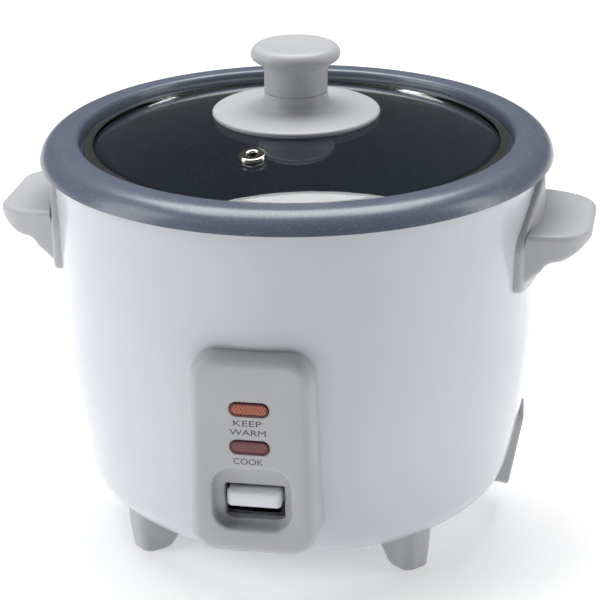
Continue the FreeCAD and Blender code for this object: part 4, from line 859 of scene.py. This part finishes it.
def bezel(name, z):
    """Painted shade round a lens's edge, as a thin dark raised bead along its outline."""
    bead = [(0.0, 0.14), (-0.25, 0.26), (-0.5, 0.30), (-0.8, 0.26), (-0.95, 0.14), (-0.95, -0.5), (0.0, -0.5)]
    rings = [lens_ring(panel_face - up, z, out) for out, up in bead + bead[:1]]
    bm = bmesh.new()
    skin(bm, rings)
    bmesh.ops.remove_doubles(bm, verts=bm.verts, dist=1e-6)
    bmesh.ops.recalc_face_normals(bm, faces=bm.faces)
    piece = made(name, bm)
    piece.data.shade_smooth()
    piece.data.materials.append(finishes["bezel"])
    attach(piece, "cooker_body")
    print(name, "has", len(piece.data.polygons), "faces")


# A bead of painted shade round each lens.
bezel("keep_warm_bezel", lens_heights["keep_warm"])
bezel("cook_bezel", lens_heights["cook"])

# %% [markdown]
# ## Lettering
# Under each lens a word says what its lamp means. Pad printing leaves a film of ink on the face, so the
# words are text made into thin meshes, stretched to their size and stood on the panel.

# %% Lettering
word_x, ink_t = lens_x - 0.6, 0.06


def printed(name, words, z, height, width):
    """A line of lettering on the panel's face, scaled to its width and height in millimetres."""
    text = bpy.data.curves.new(name, "FONT")
    text.body, text.extrude, text.align_x = words, 0.5, "CENTER"
    text.resolution_u = 4
    shape = bpy.data.objects.new(name + "_text", text)
    bpy.context.scene.collection.objects.link(shape)
    bpy.context.view_layer.update()
    mesh = bpy.data.meshes.new_from_object(shape.evaluated_get(bpy.context.evaluated_depsgraph_get()))
    bpy.data.objects.remove(shape)
    low = Vector([min(v.co[i] for v in mesh.vertices) for i in range(3)])
    high = Vector([max(v.co[i] for v in mesh.vertices) for i in range(3)])
    size, middle = high - low, (high + low) / 2
    stretch = Matrix.Diagonal((width / size.x * MM, height / size.y * MM, ink_t / size.z * MM, 1))
    mesh.transform(stretch @ Matrix.Translation(-middle))
    on_face = Matrix.Translation(Vector((word_x, panel_face, z)) * MM)
    mesh.transform(on_face @ Matrix.Rotation(math.pi / 2, 4, "X"))
    piece = bpy.data.objects.new(name, mesh)
    bpy.context.scene.collection.objects.link(piece)
    piece.data.materials.append(ink)
    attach(piece, "cooker_body")
    print(name, "is", round(width, 1), "mm wide")


printed("lettering_keep", "KEEP", 82.3, 2.4, 11.0)
printed("lettering_warm", "WARM", 78.5, 2.4, 14.0)
printed("lettering_cook", "COOK", 66.4, 2.5, 11.6)

# %% [markdown]
# ## The switch paddle
# The paddle is the white key that rocks in the window. It is a rounded bar with a slight crown, so its
# rings shrink by a quarter round to the front face, and a last small ring stands a little further out.

# %% The switch paddle
low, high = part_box("cook_paddle")
low, high = low / MM, high / MM
key_half, key_round = (high.x - low.x) / 2, 2.4
key_mid, key_half_h = (low.z + high.z) / 2, (high.z - low.z) / 2


def key_ring(y, inset, corner):
    return [(u, y, key_mid + v) for u, v in rounded(key_half - inset, key_half - inset,
                                                    -key_half_h + inset, key_half_h - inset, corner)]


key_rings = [key_ring(high.y, 0.2, 2.2)]
key_rings += [key_ring(low.y + 0.3 + key_round * (1 - up), 0.2 + key_round * inwards, 2.2 - 0.9 * up)
              for inwards, up in quarter(7)]
key_rings.append(key_ring(low.y + 0.05, key_half_h - 0.4, 0.3))
stands_for(made("switch_key", lofted(key_rings)), "cook_lever", "white_plastic", "cook_paddle")

# %% [markdown]
# ## The feet
# Four wedge-shaped feet stand under the drum's corner curve. Each has an upright outer face and an inner
# face that slants in to the base. The rings are level up to the base, and the last one is lifted onto the
# drum's underside.

# %% The feet
foot_out = corner_x + corner_r * 0.6
foot_half, foot_corner, foot_edge = 6.5, 4.4, 1.2
foot_flat, foot_gap = 13.5, 0.03


def foot_ring(z, inset, turn, onto_drum=False):
    inner = foot_out - foot_flat - 11.0 * z / underside + inset
    outer = foot_out + 4.0 * z / (2 * underside) - inset
    half_r = (outer - inner) / 2
    ring = []
    for u, v in rounded(half_r, half_r, -foot_half + inset, foot_half - inset, foot_corner - inset):
        r = inner + half_r + u
        spot = Vector((r * math.sin(turn) + v * math.cos(turn), -r * math.cos(turn) + v * math.sin(turn)))
        lift = drum_underside(min(spot.length, corner_x + corner_r - 0.5)) - foot_gap
        ring.append((spot.x, spot.y, lift if onto_drum else z))
    return ring


for end, side, degrees in (("front", "left", -46.5), ("front", "right", 46.5),
                           ("rear", "right", 133.5), ("rear", "left", -133.5)):
    turn = math.radians(degrees)
    foot_rings = [foot_ring(foot_edge * (1 - up), foot_edge * inwards, turn)
                  for inwards, up in reversed(quarter(4))]
    foot_rings += [foot_ring(z, 0.0, turn) for z in (4.0, 8.0, 11.5)]
    foot_rings.append(foot_ring(14.0, 0.0, turn, onto_drum=True))
    foot = made(f"foot_{end}_{side}_moulding", lofted(foot_rings))
    stands_for(foot, "cooker_body", "grey_plastic", f"foot_{end}_{side}")

# %% [markdown]
# ## The power inlet
# The inlet is a deep socket with a raised rim. Its rings go forward along the outside, round the rim, and
# down into the well where the three blades stand.

# %% The power inlet
inlet_edge, mouth_edge, mouth_depth = 0.8, 0.5, 15.0
mouth_half_w, mouth_half_h = 8.3, 12.3
inlet_rings = [inlet_ring(-inlet_depth, inlet_half_w, inlet_half_h, inlet_corner)]
inlet_rings += [inlet_ring(-inlet_edge * (1 - up), inlet_half_w - inlet_edge * inwards,
                           inlet_half_h - inlet_edge * inwards, 2.3) for inwards, up in quarter(4)]
inlet_rings += [inlet_ring(-mouth_edge * inwards, mouth_half_w + mouth_edge * (1 - up),
                           mouth_half_h + mouth_edge * (1 - up), 2.0) for inwards, up in quarter(3)]
inlet_rings.append(inlet_ring(-mouth_depth, mouth_half_w, mouth_half_h, 1.5))
inlet = made("power_inlet_moulding", lofted(inlet_rings))
inlet.data.transform(inlet_place)
stands_for(inlet, "cooker_body", "grey_plastic", "power_inlet")

# %% [markdown]
# ## The springs
# Two springs work inside the thermostat: one lifts the sensor cap, the other parts the magnet from the
# ferrite. Each is a wire circle spun several times round while it climbs. One end of each spring moves,
# but here each rides one body whole, with a mesh of its own: the cap's spring stands on its plate on the
# cooker's body, and the magnet's spring hangs from the sensor.

# %% The springs
def coil(name, node, mean_r, wire, turns, steps=40):
    """A round wire wound between the node's lowest and highest points."""
    low, high = (corner.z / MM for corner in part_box(node))
    climb = (high - low - 2 * wire) / (turns * steps)
    bm = bmesh.new()
    bmesh.ops.create_circle(bm, cap_ends=True, radius=wire * MM, segments=14,
                            matrix=Matrix.Translation(Vector((mean_r, 0, low + wire)) * MM)
                            @ Matrix.Rotation(math.pi / 2, 4, "X"))
    bmesh.ops.spin(bm, geom=bm.verts[:] + bm.edges[:] + bm.faces[:], cent=(0, 0, 0), axis=(0, 0, 1),
                   dvec=Vector((0, 0, climb)) * MM, angle=math.tau * turns, steps=turns * steps)
    bmesh.ops.recalc_face_normals(bm, faces=bm.faces)
    return made(name, bm)


spring = coil("sensor_spring_wire", "sensor_spring", 15.59, 0.5, 3)
stands_for(spring, "cooker_body", "spring_steel", "sensor_spring")
low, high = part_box("sensor_spring")
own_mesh(spring)
print("sensor spring length, mm:", round((high.z - low.z) / MM, 2))
spring = coil("magnet_spring_wire", "magnet_spring", 4.4, 0.35, 4)
stands_for(spring, "sensor", "spring_steel", "magnet_spring")
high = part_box("magnet_spring")[1]
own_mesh(spring)

# %% [markdown]
# ## The camera
# The camera looks slightly down from the front right with a long lens, from about a metre away. Its three
# axes are worked out from the direction it looks in, and then rolled a little about that direction.

# %% The camera
rim_middle = Vector((0, 0, 166.0))
look_turn, look_down = math.radians(10.6), math.radians(17.55)
distance, aim_right, aim_up, roll = 973.0, 0.0005, math.tan(math.radians(-4.05)), math.radians(-0.75)
back = Vector((math.sin(look_turn) * math.cos(look_down), -math.cos(look_turn) * math.cos(look_down),
               math.sin(look_down)))
right = Vector((math.cos(look_turn), math.sin(look_turn), 0))
ahead = (-back + right * aim_right + right.cross(-back) * aim_up).normalized()
right = ahead.cross(Vector((0, 0, 1))).normalized()
up = right.cross(ahead)
right, up = (right * math.cos(roll) + up * math.sin(roll), up * math.cos(roll) - right * math.sin(roll))
camera = bpy.data.objects.new("camera", bpy.data.cameras.new("camera"))
bpy.context.scene.collection.objects.link(camera)
camera.matrix_world = Matrix.Translation((rim_middle + back * distance) * MM) @ Matrix(
    (right, up, -ahead)).transposed().to_4x4()
camera.data.lens, camera.data.sensor_width = 144.0, 36.0
camera.data.clip_start, camera.data.clip_end = 0.05, 20.0
bpy.context.scene.camera = camera
print("camera at, mm:", [round(v / MM) for v in camera.matrix_world.translation])

# %% [markdown]
# ## The lights
# A white drum is shaped by what it reflects, so the lights are large and soft. A wide one stands on the
# left, a strip on the right puts a bright edge on the drum, and one above lights the rim and the knob.
# The world behind them is dim, so that the drum's middle falls a little darker than its sides.

# %% The lights
def softbox(name, place, aim, width, height, power):
    """A flat light of that size in metres, turned to a point."""
    data = bpy.data.lights.new(name, "AREA")
    data.shape, data.size, data.size_y, data.energy = "RECTANGLE", width, height, power
    light = bpy.data.objects.new(name, data)
    light.location = place
    light.rotation_mode = "QUATERNION"
    light.rotation_quaternion = (Vector(aim) - Vector(place)).to_track_quat("-Z", "Y")
    bpy.context.scene.collection.objects.link(light)


softbox("left_softbox", (-1.5, -0.6, 0.6), (0, 0, 0.1), 0.8, 1.8, 13)
softbox("right_strip", (1.4, 0.15, 0.45), (0, 0, 0.08), 0.4, 1.4, 6)
softbox("top_softbox", (-0.1, 0.35, 1.5), (0, 0, 0.15), 1.5, 1.0, 27)

world = bpy.data.worlds.new("pale_studio")
world.use_nodes = True
world.node_tree.nodes["Background"].inputs["Color"].default_value = linear("F2F4F6")
world.node_tree.nodes["Background"].inputs["Strength"].default_value = 0.08
bpy.context.scene.world = world
bpy.context.scene.view_settings.view_transform = "Standard"
print("lights:", sorted(light.name for light in bpy.data.lights))

# %% [markdown]
# ## The floor
# The floor is one large pale sheet. It glows a little of itself, as a backlit studio table does, so the
# shadow under the cooker stays light.

# %% The floor
bm = bmesh.new()
bmesh.ops.create_grid(bm, x_segments=2, y_segments=2, size=6.0)
floor = made("floor", bm)
floor_paint, floor_tree, floor_shader, floor_place = new_finish("lit_pale_floor", IOR=1.45,
                                                                Emission_Color=(1, 1, 1, 1),
                                                                Emission_Strength=0.34)
patchy(floor_tree, floor_shader, floor_place, "FAFAFA", "F6F6F6", 200.0)
uneven_gloss(floor_tree, floor_shader, floor_place, 0.6, 0.75, 90.0)
floor.data.materials.append(floor_paint)
print("floor is", round(floor.dimensions.x, 1), "m wide")
